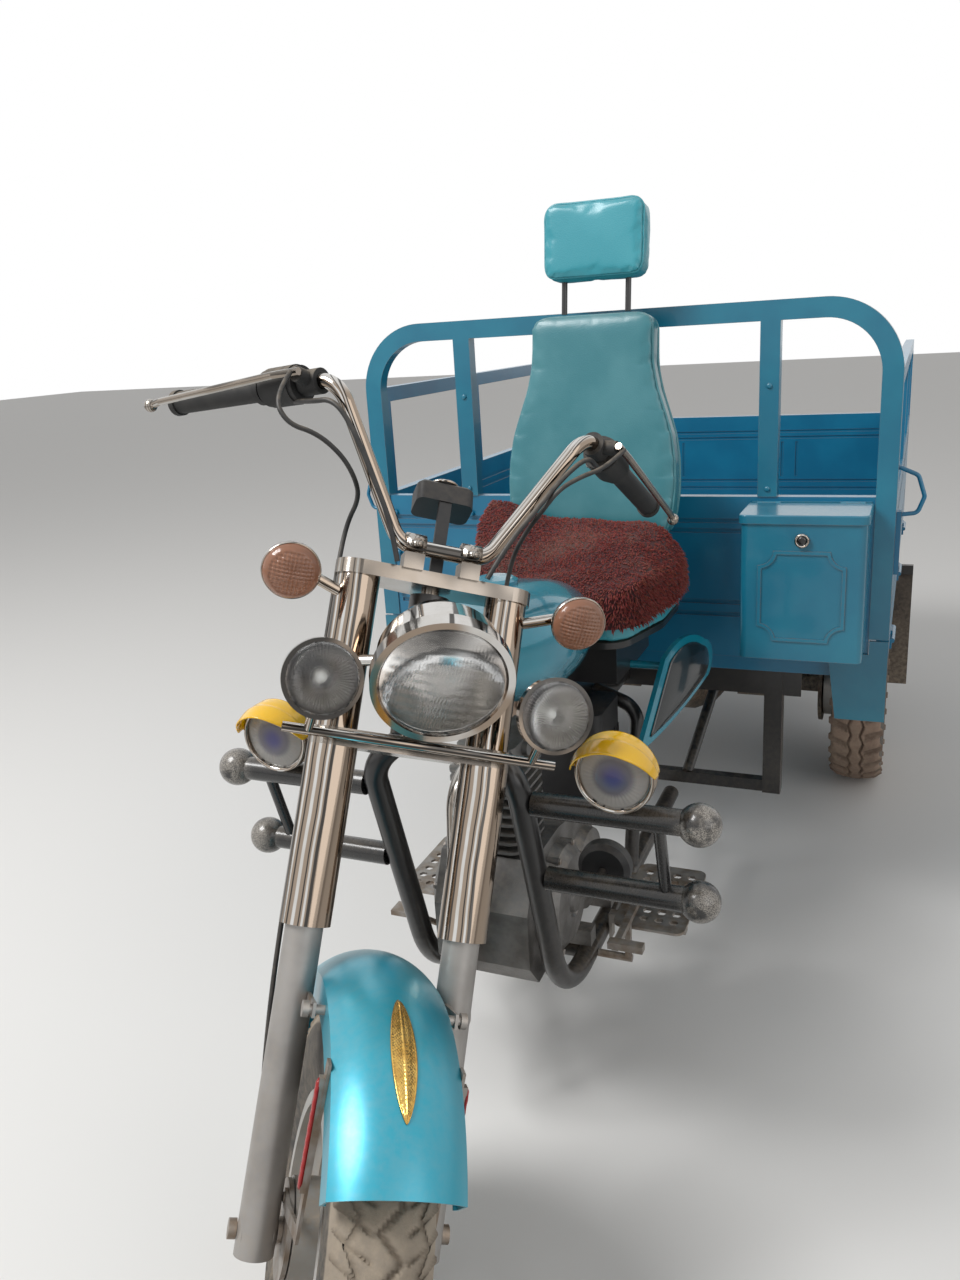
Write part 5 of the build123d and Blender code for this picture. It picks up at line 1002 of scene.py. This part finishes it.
def tufts(name, root, normal, length, width):
    """Pile: blade point k = root + length t_k (normal + lean) - droop t_k², t_k from 0 to 1, narrower to the tip."""
    count = len(root)
    lay = np.stack([np.sin(root[:, 1] * 27 + 2), np.cos(root[:, 0] * 23), -0.2 + 0 * root[:, 0]], 1)
    run = unit(normal + (rng.normal(0, 0.35, (count, 3)) + 0.35 * lay))
    size = length * rng.uniform(0.65, 1.15, count)
    t = np.linspace(0, 1, JOINTS_UP)
    spine = root[:, None] - normal[:, None] * 0.002 + size[:, None, None] * t[None, :, None] * run[:, None]
    spine[:, :, 2] -= 0.45 * size[:, None] * t[None] ** 2
    side = unit(np.cross(run, rng.normal(0, 1, (count, 3))))[:, None, None]
    other = np.cross(run, side[:, 0, 0])[:, None, None]
    angle = np.linspace(0, 2 * np.pi, 3, endpoint=False)[None, None, :, None]
    taper = width * np.interp(t, (0, 0.33, 0.67, 1), (1.0, 1.05, 0.8, 0.12))[None, :, None, None]
    verts = spine[:, :, None] + taper * (np.cos(angle) * side + np.sin(angle) * other)
    quads = grid_faces(JOINTS_UP, 3, wrap_columns=True)
    faces = (quads[None] + (np.arange(count) * JOINTS_UP * 3)[:, None, None]).reshape(-1, 4)
    piece = mesh_piece(name, verts, faces)
    with_attribute(piece, "tip", np.broadcast_to(t[None, :, None], (count, JOINTS_UP, 3)))
    with_attribute(piece, "shade", np.repeat(rng.random(count), JOINTS_UP * 3))
    return piece


# %% Wool and pile, darker at the roots as painted shade
tree = new_material("rug_wool", Roughness=0.85, Sheen_Weight=0.08, Sheen_Roughness=0.5)
# painted shade: each tuft is dark at its root, deep in the pile, and brightens to its tip
wool_with_root_shade = mix_colour(tree, stored(tree, "tip"), (0.040, 0.004, 0.005), (0.29, 0.034, 0.028))
wool_with_root_shade = mix_colour(tree, ramp(tree, stored(tree, "shade"), 0.55, 1.0), wool_with_root_shade, (0.20, 0.042, 0.020))
patches = ramp(tree, group(tree, mottle, Scale=9.0)["Broad"], 0.45, 0.75)
shade(tree, Base_Color=mix_colour(tree, calc(tree, "MULTIPLY", patches, 0.10), wool_with_root_shade, DUST_TAN))

TUFT_COUNT, TUFT_LENGTH, TUFT_WIDTH = 16400, 0.0105, 0.0016
rug_centre = places.mean(0) - [0, 0, 0.04]
pile = tufts("rug_pile", *roots(rug, rug_centre, TUFT_COUNT), TUFT_LENGTH, TUFT_WIDTH)
finish_pad(rug, "rug_wool", "seat_rug")
hand_over(pile, "rug_wool", "chassis")
print("tuft faces", len(pile.data.polygons))

# %% [markdown]
# ## Turned grids and joined pieces
#
# Lamp glass, lens, knob and bolt head are all a short profile carried round an axis. A ripple in
# the helper presses flutes into the glass. Small like pieces are joined into one mesh, so that a
# row of bolts is one object.


# %% Turned forms
def turned(profile, origin, axis, guide, around=48, ripple=None):
    """Turned grid: place = origin + (t + ripple) · axis + r (cos a · e1 + sin a · e2) for each (t, r)."""
    t, r = np.asarray(profile, float).T
    axis = np.asarray(axis, float) / np.linalg.norm(axis)
    e1 = np.asarray(guide, float) - np.dot(guide, axis) * axis
    e1 /= np.linalg.norm(e1)
    e2 = np.cross(axis, e1)
    a = np.linspace(0, 2 * np.pi, around, endpoint=False)
    x, y = r[:, None] * np.cos(a), r[:, None] * np.sin(a)
    along = t[:, None] + (0 * x if ripple is None else ripple(x, y, t[:, None]))
    verts = np.asarray(origin) + along[..., None] * axis + x[..., None] * e1 + y[..., None] * e2
    return verts.reshape(-1, 3), grid_faces(len(t), around, wrap_columns=True)


def joined(name, parts, finish_name, body, node=None, smooth=True):
    """One mesh from many (places, faces) pairs, closed at its poles, dressed and riding on a body."""
    starts = np.cumsum([0] + [len(verts) for verts, _ in parts[:-1]])
    verts = np.vstack([verts for verts, _ in parts])
    faces = np.vstack([faces + start for start, (_, faces) in zip(starts, parts)])
    return hand_over(outward(mesh_piece(name, verts, faces, smooth)), finish_name, body, node)


# %% [markdown]
# ## Lamp glass
#
# The headlight glass is a shallow dome about as wide as the bezel, pressed with upright flutes that
# spread the beam sideways and crossed by a few level steps. The spot lamps carry rays from the
# middle outward. The dome is clear, so the dished reflector and the bulb behind it show through.


# %% Headlight and spot glass
def aimed(tilt):
    """Direction to the rear in the fork's frame, so many degrees above level."""
    return fork_way(0, math.cos(rake + math.radians(tilt)), math.sin(rake + math.radians(tilt)))


def dome(back, rim, crown, radius, rings):
    """Profile of a glass: flat back, short edge, then a front that crowns forward as 1 - (r / R)²."""
    r = np.linspace(radius, 0, rings)
    front = np.stack([rim - (rim - crown) * (1 - (r / radius) ** 2), r], 1)
    return np.vstack([[(back, 0.0), (back, radius)], front])


def rays(x, y, count):
    """A zigzag of the angle round the middle, 1 on a ray and 0 between rays; each count gives two rays."""
    return np.abs(triangle_wave(np.arctan2(y, x) * count / (2 * np.pi)))


def head_flutes(x, y, t):
    """Upright flutes 9 mm apart with level steps, only on the front and fading at the rim."""
    r = np.hypot(x, y)
    fade = (1 - step(r, 0.068, 0.078)) * (t < 0)
    flute = 0.0011 * np.abs(triangle_wave(x / 0.009)) + 0.0007 * np.abs(triangle_wave(y / 0.026))
    return flute * fade * step(r, 0.010, 0.022)


def spot_rays(x, y, t):
    """Rays spreading from the middle, fading at the rim and at the centre."""
    r = np.hypot(x, y)
    fade = (1 - step(r, 0.036, 0.043)) * (t < 0) * step(r, 0.006, 0.014)
    return 0.0011 * rays(x, y, 28) * fade


GLASS_BACK = 0.0016
head_aim, spot_aim, level_aim = aimed(13), aimed(-18), aimed(0)
head_place = on_fork((0, -0.164, -0.006))
spot_places = [on_fork((u, -0.172, -0.025)) for u in (-0.150, 0.150)]
head_dome = dome(GLASS_BACK, -0.004, -0.012, 0.0797, 44)
spot_dome = dome(GLASS_BACK, -0.003, -0.008, 0.0447, 22)
panes = [turned(head_dome, head_place, head_aim, fork_across, 216, head_flutes)]
panes += [turned(spot_dome, spot, spot_aim, fork_across, 168, spot_rays) for spot in spot_places]
lamp_glass = joined("lamp_glass", panes, "clear_glass", "fork", "lamp_lenses")
print("lamp glass faces", len(lamp_glass.data.polygons))

# %% [markdown]
# ### Reflectors and bulbs
#
# Behind each glass a thin bright liner covers the dish of the CAD shell, cut into facets that catch
# the light one by one, and a frosted bulb covers the lamp holder in its middle.


# %% Lamp reflectors and bulbs
def liner(origin, aim, seat_r, depth, bulb_r, facets):
    """Thin bright liner just in front of the shell's dish, its facets standing proud as a zigzag of the angle."""
    dish = arc3((0.002, seat_r), (depth * 0.62, seat_r * 0.64), (depth, bulb_r * 1.7), 21)[1:]
    front, back = dish - [0.0013, 0.0], dish - [0.0004, 0.0]

    def facet(x, y, t):
        return -0.0007 * rays(x, y, facets) * step(np.hypot(x, y), 0.01, 0.02)

    return turned(np.vstack([front, back[::-1], front[:1]]), origin, aim, fork_across, 120, facet)


def bulb(origin, aim, depth, r):
    """Frosted bulb over the shell's lamp holder: a round tip and a straight neck."""
    tip, neck = depth * 0.45 - 0.004, depth * 0.8
    glass = [(tip, 0), (tip + 0.001, r * 0.6), (tip + 0.004, r * 0.95), (tip + 0.009, r * 1.08)]
    return turned([*glass, (neck, r * 1.08), (neck, 0)], origin, aim, fork_across, 32)


liners = [liner(head_place, head_aim, seat_r=0.080, depth=0.080, bulb_r=0.009, facets=20)]
liners += [liner(spot, spot_aim, seat_r=0.045, depth=0.038, bulb_r=0.006, facets=14) for spot in spot_places]
bulbs = [bulb(head_place, head_aim, depth=0.080, r=0.009)]
bulbs += [bulb(spot, spot_aim, depth=0.038, r=0.006) for spot in spot_places]
joined("lamp_reflectors", liners, "reflector_foil", "fork")
joined("lamp_bulbs", bulbs, "frosted_bulb", "fork")

# %% [markdown]
# ### Fog lamps
#
# Each fog lamp has a glass with rays round a plain thick middle, set in a chrome ring. How far a
# point lies from the middle is stored for the painted blue reflection in the middle of the glass. A
# yellow bill stands out over the lamp: it is longest at the top and tapers away down both sides.


# %% Fog lamp glass
def fog_ribs(x, y, t):
    """Rays in a ring round a raised middle, only on the front and fading at the rim."""
    r = np.hypot(x, y)
    height = 0.0009 * rays(x, y, 40) * step(r, 0.024, 0.030) + 0.0012 * (1 - step(r, 0.010, 0.026))
    return height * (t < 0.001) * (1 - step(r, 0.043, 0.048))


FOG_R = 0.0492
FOG_RING = [(0.001, 0.0497), (-0.004, 0.0502), (-0.0058, 0.0530), (-0.004, 0.0562), (0.0015, 0.0573), (0.0015, 0.0497)]
fog_low, fog_high = (np.array(v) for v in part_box("fog_lenses"))
fog_x, fog_y, fog_z = fog_high[0] - FOG_R, fog_low[1] + 0.007, (fog_low[2] + fog_high[2]) / 2
fog_places = [np.array([sign * fog_x, fog_y, fog_z]) for sign in (-1, 1)]
pane = evenly(dome(0.0037, 0.0, -0.009, FOG_R, 26), 44)
panes = [turned(pane, spot, REAR, LEFT, 120, fog_ribs) for spot in fog_places]
fog_rings = [turned(evenly(FOG_RING + FOG_RING[:1], 26), spot, REAR, LEFT, 96) for spot in fog_places]
fog_panes = joined("fog_lamp_glass", panes, "fog_glass", "chassis", "fog_lenses")
places = vertex_array(fog_panes.data)
with_attribute(fog_panes, "ring", np.hypot(np.abs(places[:, 0]) - fog_x, places[:, 2] - fog_z) / FOG_R)
joined("fog_lamp_rims", fog_rings, "chrome", "chassis")

# %% Fog lamp visors
VISOR_R, VISOR_REACH, VISOR_WALL = 0.0604, 0.043, 0.0022


def peak(place, rows=24, columns=56):
    """Bill: t = rear - f (rear + reach cos(phi)^0.7), r = r0 + step - droop (t / reach)^1.6, phi from the top."""
    phi = np.linspace(-1.45, 1.45, columns)
    f = np.linspace(0, 1, rows)[:, None]
    t = 0.014 - f * (0.018 + VISOR_REACH * np.cos(phi) ** 0.7)
    out = np.clip(-t / VISOR_REACH, 0, 1)
    outer = VISOR_R + 0.0018 * step(f, 0.42, 0.50) - 0.010 * out**1.6 + 0 * phi
    inner = outer - VISOR_WALL
    outer, inner = (
        np.stack([place[0] + r * np.sin(phi), place[1] + t, place[2] + r * np.cos(phi)], -1) for r in (outer, inner)
    )
    i = np.arange(rows - 1)
    low, high = i * columns, (2 * rows - 1 - i) * columns
    ends = [np.stack([high, high - columns, low + columns, low], -1) + c for c in (0, columns - 1)]
    loop = np.vstack([outer, inner[::-1]])
    return loop.reshape(-1, 3), np.vstack([grid_faces(2 * rows, columns, wrap_rows=True), *ends])


joined("fog_lamp_visors", [peak(spot) for spot in fog_places], "yellow_hood", "chassis", "fog_visors")

# %% [markdown]
# ### Turn signals
#
# The amber lenses bulge forward and are pressed into small pyramids, which break the lamp behind
# into many sparks. A thin bright ring hides the joint with the housing.

# %% Turn signals
SIGNAL_PROFILE = [
    (-0.016, 0), (-0.0155, 0.012), (-0.0135, 0.022), (-0.009, 0.0305), (-0.003, 0.0355), (0.002, 0.0375),
    (0.008, 0.0375), (0.0085, 0.0362), (0.011, 0.0362), (0.020, 0.030), (0.024, 0.016), (0.024, 0),
]
SIGNAL_RING = [(0.0022, 0.0372), (0.0022, 0.0386), (0.006, 0.0394), (0.0115, 0.0386), (0.0115, 0.0360)]
SIGNAL_RING.append(SIGNAL_RING[0])
PYRAMID = 0.0105


def waffle(x, y, t):
    """Small pyramids about 5 mm apart on the front of the lens."""
    fade = (1 - step(np.hypot(x, y), 0.027, 0.033)) * (t < -0.001)
    return 0.0017 * (np.abs(triangle_wave(x / PYRAMID)) + np.abs(triangle_wave(y / PYRAMID))) * fade


signal_places = [on_fork((u, -0.077, 0.117)) for u in (-0.202, 0.202)]
signal_panes = [turned(evenly(SIGNAL_PROFILE, 64), spot, level_aim, fork_across, 120, waffle) for spot in signal_places]
joined("signal_glass", signal_panes, "amber_lens", "fork", "signal_lenses")
signal_rings = [turned(SIGNAL_RING, spot, level_aim, fork_across, 64) for spot in signal_places]
joined("signal_rims", signal_rings, "chrome", "fork")

# %% [markdown]
# ## Engraved leaf on the fender
#
# A gilt casting lies along the fender's crown: a pointed leaf with a raised midrib and slanted
# veins. One parameter runs from tip to tip along the fender's arc, the other across. The height is
# a flat dome plus the midrib, less the veins.

# %% Fender leaf
LEAF_R, LEAF_HALF, LEAF_TIP = 0.3473, 0.0152, 0.083
wheel_centre_fork = (wheel_centre - fork_origin) @ fork_basis.T
leaf_turn = math.radians(90 + 38.4)
v, u = np.meshgrid(np.linspace(-1, 1, 120), np.linspace(-1, 1, 31), indexing="ij")
across_leaf = u * (LEAF_HALF * (1 - v**2) ** 0.72)
vein = groove_line(triangle_wave(v * 11 - np.abs(u) * 1.4) * 0.25, 0.06) * (np.abs(u) > 0.12) * (np.abs(u) < 0.86)
rim_bead = np.exp(-(((np.abs(u) - 0.93) / 0.06) ** 2))
height = 0.0026 * (1 - u**2) + 0.0012 * np.exp(-((u / 0.1) ** 2)) + 0.0008 * rim_bead - 0.0011 * vein
height = 0.0006 + (height + 0.0006) * np.clip((1 - np.abs(v)) * 9, 0, 1)
sag = across_leaf**2 * 0.034 / 0.076**2


def on_crown(x, along, lift):
    """Row-frame places on the fender's crown: x across, arc length along, lift above its skin."""
    angle = leaf_turn + along / LEAF_R
    r = LEAF_R - sag + lift
    local = np.stack([x, r * np.cos(angle), r * np.sin(angle)], -1) + wheel_centre_fork
    return on_fork(local).reshape(-1, 3)


verts = np.vstack([on_crown(across_leaf, v * LEAF_TIP, lift) for lift in (height, 0 * height)])
skin = grid_faces(*v.shape)
index = np.arange(v.size).reshape(v.shape)
loop = np.r_[index[0], index[1:-1, -1], index[-1, ::-1], index[-2:0:-1, 0]]
edge = np.stack([loop, np.roll(loop, -1), np.roll(loop, -1) + v.size, loop + v.size], 1)
leaf = (verts, np.vstack([skin, skin[:, ::-1] + v.size, edge]))
joined("fender_leaf", [leaf], "gilt", "fork", "fender_ornament")
print("leaf length in mm", round(2000 * LEAF_TIP))

# %% [markdown]
# ## Side cover inlays
#
# Each side cover is a lacquered leaf whose inside is a crowned black panel. The CAD plate keeps the
# lacquer; the inlay is a fan of rings, each a shrunken copy of the outline, rising to the middle.

# %% Side cover inlays
SEAT_FOOT = 0.795
COVER_FACE, INLAY_FOOT, INLAY_RIM = 0.0102, 0.80, 0.82
flare = math.radians(-15)
arc_top = arc3((-0.318, SEAT_FOOT - 0.060), (-0.220, SEAT_FOOT - 0.038), (-0.142, SEAT_FOOT - 0.066), 24)
arc_rear = arc3((-0.142, SEAT_FOOT - 0.066), (-0.106, SEAT_FOOT - 0.105), (-0.125, SEAT_FOOT - 0.150), 16)
arc_low = arc3((-0.125, SEAT_FOOT - 0.150), (-0.270, SEAT_FOOT - 0.195), (-0.425, SEAT_FOOT - 0.220), 24)
outline = smoothed(evenly(np.vstack([arc_top[:-1], arc_rear[:-1], arc_low]), 150, closed=True), 2)
middle = np.array([-0.215, SEAT_FOOT - 0.120])
shrink = np.linspace(INLAY_RIM, 0.0, 16)
crowned = COVER_FACE + 0.010 * (1 - (shrink / INLAY_RIM) ** 2.6) + 0.0014
rise = np.r_[COVER_FACE, COVER_FACE, crowned][:, None]
flat = middle + (outline - middle)[None] * np.r_[0.0, INLAY_FOOT, shrink][:, None, None]
y = flat[..., 0] + 0.42
turned_x = rise * math.cos(flare) - y * math.sin(flare) + 0.160
turned_y = rise * math.sin(flare) + y * math.cos(flare) - 0.42 + bed_front
fan = grid_faces(*y.shape, wrap_columns=True)
inlays = [(np.stack([sign * turned_x, turned_y, flat[..., 1]], -1).reshape(-1, 3), fan) for sign in (-1, 1)]
joined("side_cover_inlays", inlays, "inlay_black", "chassis")

# %% [markdown]
# ## Control cables
#
# Cables leave the lever perches, hang in an easy loop and go down the fork. Each is one smooth
# spline through a few places in the fork's frame, so it turns with the steering.


# %% Cables
def cable(name, places, diameter):
    """A cable: a NURBS curve of order three with the route's places as its control points."""
    curve = bpy.data.curves.new(name, "CURVE")
    curve.dimensions = "3D"
    spline = curve.splines.new("NURBS")
    spline.points.add(len(places) - 1)
    for point, place in zip(spline.points, on_fork(places)):
        point.co = (*place, 1.0)
    spline.order_u = 3
    spline.use_endpoint_u = True
    spline.resolution_u = 12
    piece = new_object(name, curve)
    line = vertex_array(as_shown(piece))
    curve.bevel_depth = diameter / 2
    curve.bevel_resolution = 3
    curve.use_fill_caps = True
    hand_over(piece, "cable_sheath", "fork")


# %% Cable routes
CABLE_THICK, HARNESS_THICK = 0.0068, 0.0075
axle_s = wheel_centre_fork[2]
brake_route = [
    (-0.246, -0.060, 0.392), (-0.262, -0.086, 0.342), (-0.240, -0.092, 0.308), (-0.200, -0.090, 0.305),
    (-0.162, -0.078, 0.287), (-0.138, -0.064, 0.264), (-0.124, -0.030, 0.247), (-0.132, 0.010, 0.218),
    (-0.135, 0.007, 0.150), (-0.135, 0.006, 0.020), (-0.135, 0.006, -0.120), (-0.135, 0.006, -0.260),
    (-0.134, 0.006, -0.400), (-0.128, 0.012, -0.500), (-0.118, 0.040, -0.580), (-0.100, 0.080, -0.640),
    (-0.084, 0.094, axle_s + 0.030), (-0.079, 0.080, axle_s - 0.016),
]
clutch_route = [
    (0.246, -0.060, 0.392), (0.214, -0.078, 0.352), (0.174, -0.090, 0.326), (0.145, -0.086, 0.302),
    (0.130, -0.070, 0.272), (0.122, -0.030, 0.249), (0.120, 0.022, 0.222), (0.120, 0.042, 0.150),
    (0.116, 0.042, 0.020), (0.100, 0.034, -0.084),
]
harness_route = [
    (0.232, -0.004, 0.374), (0.212, -0.042, 0.364), (0.184, -0.078, 0.362), (0.150, -0.082, 0.322),
    (0.114, -0.080, 0.262), (0.082, -0.076, 0.208), (0.064, -0.066, 0.160),
]
cable("brake_cable", brake_route, CABLE_THICK)
cable("clutch_cable", clutch_route, CABLE_THICK)
for label, sign in (("right", -1), ("left", 1)):
    cable(f"harness_{label}", [(sign * u, w, s) for u, w, s in harness_route], HARNESS_THICK)

# %% [markdown]
# ## Small fittings
#
# Clamps hold the bar to the upper yoke, bolts close the engine covers and wheel discs, and the
# switch boxes carry coloured buttons. The dial looks back at the rider, and the tool box has a
# round lock with a dark keyhole.


# %% Handlebar clamps and bolts
HEX = [(0.0, 0.0), (0.0, 1.0), (0.62, 1.0), (0.72, 0.86), (0.72, 0.0)]
ROUND_HEAD = [(0.0, 0.0), (0.0, 1.0), (0.25, 1.0), (0.5, 0.82), (0.62, 0.5), (0.66, 0.0)]


def heads(profile, places, axis, size, guide, around=6):
    """Bolt heads of one size at several places, their axis pointing out of the surface."""
    scaled = np.asarray(profile) * size
    return [turned(scaled, place, axis, guide, around) for place in places]


def half_shell(u0, u1, centre, inner, outer, first, last, count=18):
    """Part of a ring about the fork's u axis between two angles, closed all round."""
    a = np.linspace(first, last, count)[:, None]
    u, r = np.array([(u0, inner), (u0, outer), (u1, outer), (u1, inner)]).T
    rows = np.stack([u + 0 * a, centre[0] + r * np.cos(a), centre[1] + r * np.sin(a)], -1)
    ends = np.array([[0, 1, 2, 3], [4 * count - 1, 4 * count - 2, 4 * count - 3, 4 * count - 4]])
    return on_fork(rows.reshape(-1, 3)), np.vstack([grid_faces(count, 4, wrap_columns=True), ends])


clamps, bolt_places = [], []
for u in (-0.040, 0.040):
    clamps.append(half_shell(u - 0.014, u + 0.014, (-0.044, 0.190), 0.0112, 0.0185, -0.25, math.pi + 0.25))
    for w in (-0.064, -0.024):
        bolt_places.append(on_fork((u, w, 0.1935)))
        ear = [(0, 0), (0, 0.0085), (0.008, 0.0085), (0.008, 0)]
        clamps.append(turned(ear, on_fork((u, w, 0.1855)), fork_up, fork_across, 24))
joined("bar_clamps", clamps, "dull_chrome", "fork")
clamp_bolts = heads(HEX, bolt_places, fork_up, 0.0055, fork_across)
joined("bar_clamp_bolts", clamp_bolts, "bare_steel", "fork", smooth=False)

# %% Switch buttons
BUTTON = [(0, 0), (0, 0.0065), (0.004, 0.0065), (0.006, 0.0045), (0.0066, 0)]
bar_bend, bar_end = np.array((0.182, -0.062, 0.398)), np.array((0.396, 0.185, 0.402))
bar_run = (bar_end - bar_bend) / np.linalg.norm(bar_end - bar_bend)
rearward = np.cross(bar_run, (0, 0, 1.0))
rearward /= -np.linalg.norm(rearward)
pale_buttons, red_buttons = [], []
for sign in (-1, 1):
    for share, lift, box in ((0.25, 0.35, red_buttons), (0.30, -0.2, pale_buttons), (0.35, 0.35, pale_buttons)):
        way = rearward * math.cos(lift) + np.array((0, 0, 1.0)) * math.sin(lift)
        place = bar_bend + (bar_end - bar_bend) * share + way * 0.0265
        box.append(turned(BUTTON, on_fork(place * [sign, 1, 1]), fork_way(*way * [sign, 1, 1]), fork_up, 20))
joined("switch_buttons", pale_buttons, "pale_button", "fork")
joined("stop_buttons", red_buttons, "red_button", "fork")

# %% Dial
dial_tilt = math.radians(18)
dial_way = fork_way(0, math.sin(dial_tilt), math.cos(dial_tilt))
dial_place = on_fork((0, 0.002 + 0.036 * math.sin(dial_tilt), 0.262 + 0.036 * math.cos(dial_tilt)))
ring = [(0, 0.0225), (0, 0.0245), (0.003, 0.0245), (0.0042, 0.0235), (0.003, 0.0225), (0, 0.0225)]
joined("dial_ring", [turned(ring, dial_place, dial_way, fork_across, 64)], "chrome", "fork")
face = [(0.0002, 0), (0.0002, 0.0222), (0.0014, 0.0222), (0.0024, 0.014), (0.0028, 0)]
joined("dial_face", [turned(face, dial_place, dial_way, fork_across, 64)], "dial_black", "fork")


# %% Engine and wheel bolts
def bolt_circle(centre, count, radius, first=0.0):
    """Places evenly spread on a circle that faces sideways, from an angle in degrees on."""
    angle = np.radians(first + 360 / count * np.arange(count))
    return np.stack([0 * angle, radius * np.cos(angle), radius * np.sin(angle)], 1) + centre


engine_bolts = []
for sign in (-1, 1):
    places = bolt_circle([sign * 0.1058, bed_front - 0.708, 0.412], 8, 0.096, 22.5)
    engine_bolts += heads(HEX, places, (sign, 0, 0), 0.0055, UP)
joined("engine_bolts", engine_bolts, "bare_steel", "chassis", smooth=False)

HUB_CAP = [(0, 0), (0, 0.026), (0.010, 0.026), (0.016, 0.021), (0.018, 0)]
for side_name, sign in (("left", 1), ("right", -1)):
    hub = np.array(joints[f"rear_wheel_{side_name}_spin"]["pos_m"])
    nuts = heads(HEX, bolt_circle(hub + [sign * 0.0162, 0, 0], 5, 0.072), (sign, 0, 0), 0.0095, UP)
    nuts.append(turned(HUB_CAP, hub + [sign * 0.0398, 0, 0], (sign, 0, 0), UP, 32))
    joined(f"rear_nuts_{side_name}", nuts, "axle_iron", f"rear_wheel_{side_name}", smooth=False)

# %% Rivets and studs of the front board
board_y = bed_front - 0.0002
rivet_places = [(x, board_y, z) for x in (-0.545, -0.342, 0.342) for z in (0.760, 0.860, 0.960)]
rivets = heads(ROUND_HEAD, rivet_places, FRONT, 0.0075, UP, 12)
joined("board_rivets", rivets, "bed_enamel", "chassis")
stud_places = [(x, board_y, z) for x in (-0.342, 0.342) for z in (1.020, 1.232)]
joined("post_studs", heads(ROUND_HEAD, stud_places, FRONT, 0.006, UP, 12), "hoop_enamel", "chassis")

# %% Tool box lock
lock_place = np.array([(0.312 + 0.551) / 2, bed_front - 0.157 - 0.0055, 0.990 - 0.046])
ring = [(0, 0.0086), (0, 0.0142), (0.0022, 0.0142), (0.0034, 0.0122), (0.0034, 0.0104), (0.0, 0.0086)]
joined("lock_ring", [turned(ring, lock_place, FRONT, UP, 48)], "chrome", "chassis")
core = [(-0.002, 0), (-0.002, 0.0088), (0.0019, 0.0088), (0.0022, 0.004), (0.0022, 0)]
joined("lock_core", [turned(core, lock_place, FRONT, UP, 32)], "dial_black", "chassis")

# %% [markdown]
# ### Fender reflectors
#
# A narrow red strip lies on each side of the front fender, rounded at both ends and ribbed across.
# It is a row of flat rings along a line, each swelling a little outward.

# %% Fender reflectors
t = np.linspace(0, 1, 28)
a = np.linspace(0, 2 * np.pi, 20, endpoint=False)
line = np.stack([-0.176 - 0.025 * t, -0.600 + 0.128 * t], 1)
size = 0.0058 * np.clip(np.minimum(t, 1 - t) * 12, 0.0, 1) ** 0.5
ridges = 0.0006 * np.abs(triangle_wave(t * 18))
across_strip = np.array([0.98, 0.19])
places = line[:, None] + (size[:, None] * np.cos(a)[None])[..., None] * across_strip
u = 0.0866 + 0.0028 * np.sin(a)[None] * (size[:, None] > 1e-5) + ridges[:, None] * (np.sin(a) > 0)[None]
strip = grid_faces(len(t), len(a), wrap_columns=True)
reflectors = [
    (on_fork(np.concatenate([sign * u[..., None], places], -1)).reshape(-1, 3), strip) for sign in (-1, 1)
]
joined("fender_reflectors", reflectors, "red_lens", "fork")

# %% [markdown]
# ## Floor, world and lamps
#
# The studio is plain: a pale floor that keeps the shadow, a pale world that the camera, glass and
# metal all see as white, and two broad soft lamps, the stronger one high at the picture's upper
# left as the sun stands in the photograph.

# %% Floor and world
FLOOR_HALF = 30.0
floor_corners = np.array([(-1, -1, 0), (1, -1, 0), (1, 1, 0), (-1, 1, 0)]) * FLOOR_HALF
floor = mesh_piece("studio_floor", floor_corners, [(0, 1, 2, 3)])
new_material("floor_paint", Base_Color=(0.78, 0.77, 0.75), Roughness=0.9)
floor.data.materials.append(finishes["floor_paint"])

SEEN_WORLD, LIGHTING_WORLD = 1.0, 0.42
world = bpy.data.worlds.new("studio_world")
world.use_nodes = True
bpy.context.scene.world = world
tree = world.node_tree
back = tree.nodes["Background"]
feed(tree, back.inputs["Color"], (1.0, 1.0, 1.0))
ray = tree.nodes.new("ShaderNodeLightPath").outputs
seen = calc(tree, "ADD", ray["Is Camera Ray"], ray["Is Glossy Ray"])
seen = calc(tree, "ADD", seen, ray["Is Transmission Ray"], clamp=True)
strength = calc(tree, "MULTIPLY_ADD", seen, SEEN_WORLD - LIGHTING_WORLD, LIGHTING_WORLD)
feed(tree, back.inputs["Strength"], strength)


# %% Lamps
def lamp(name, place, target, size, power):
    """A square soft lamp aimed at a point."""
    data = bpy.data.lights.new(name, "AREA")
    data.size = size
    data.energy = power
    aim = (Vector(target) - Vector(place)).to_track_quat("-Z", "Y")
    new_object(name, data).matrix_world = Matrix.LocRotScale(Vector(place), aim, None)


lamp("key_lamp", (-2.6, -3.2, 5.2), (0, -0.2, 0.6), 2.2, 265)
lamp("fill_lamp", (4.5, -2.8, 3.0), (0, 0, 0.6), 4.0, 55)
bpy.context.scene.view_settings.view_transform = "Standard"
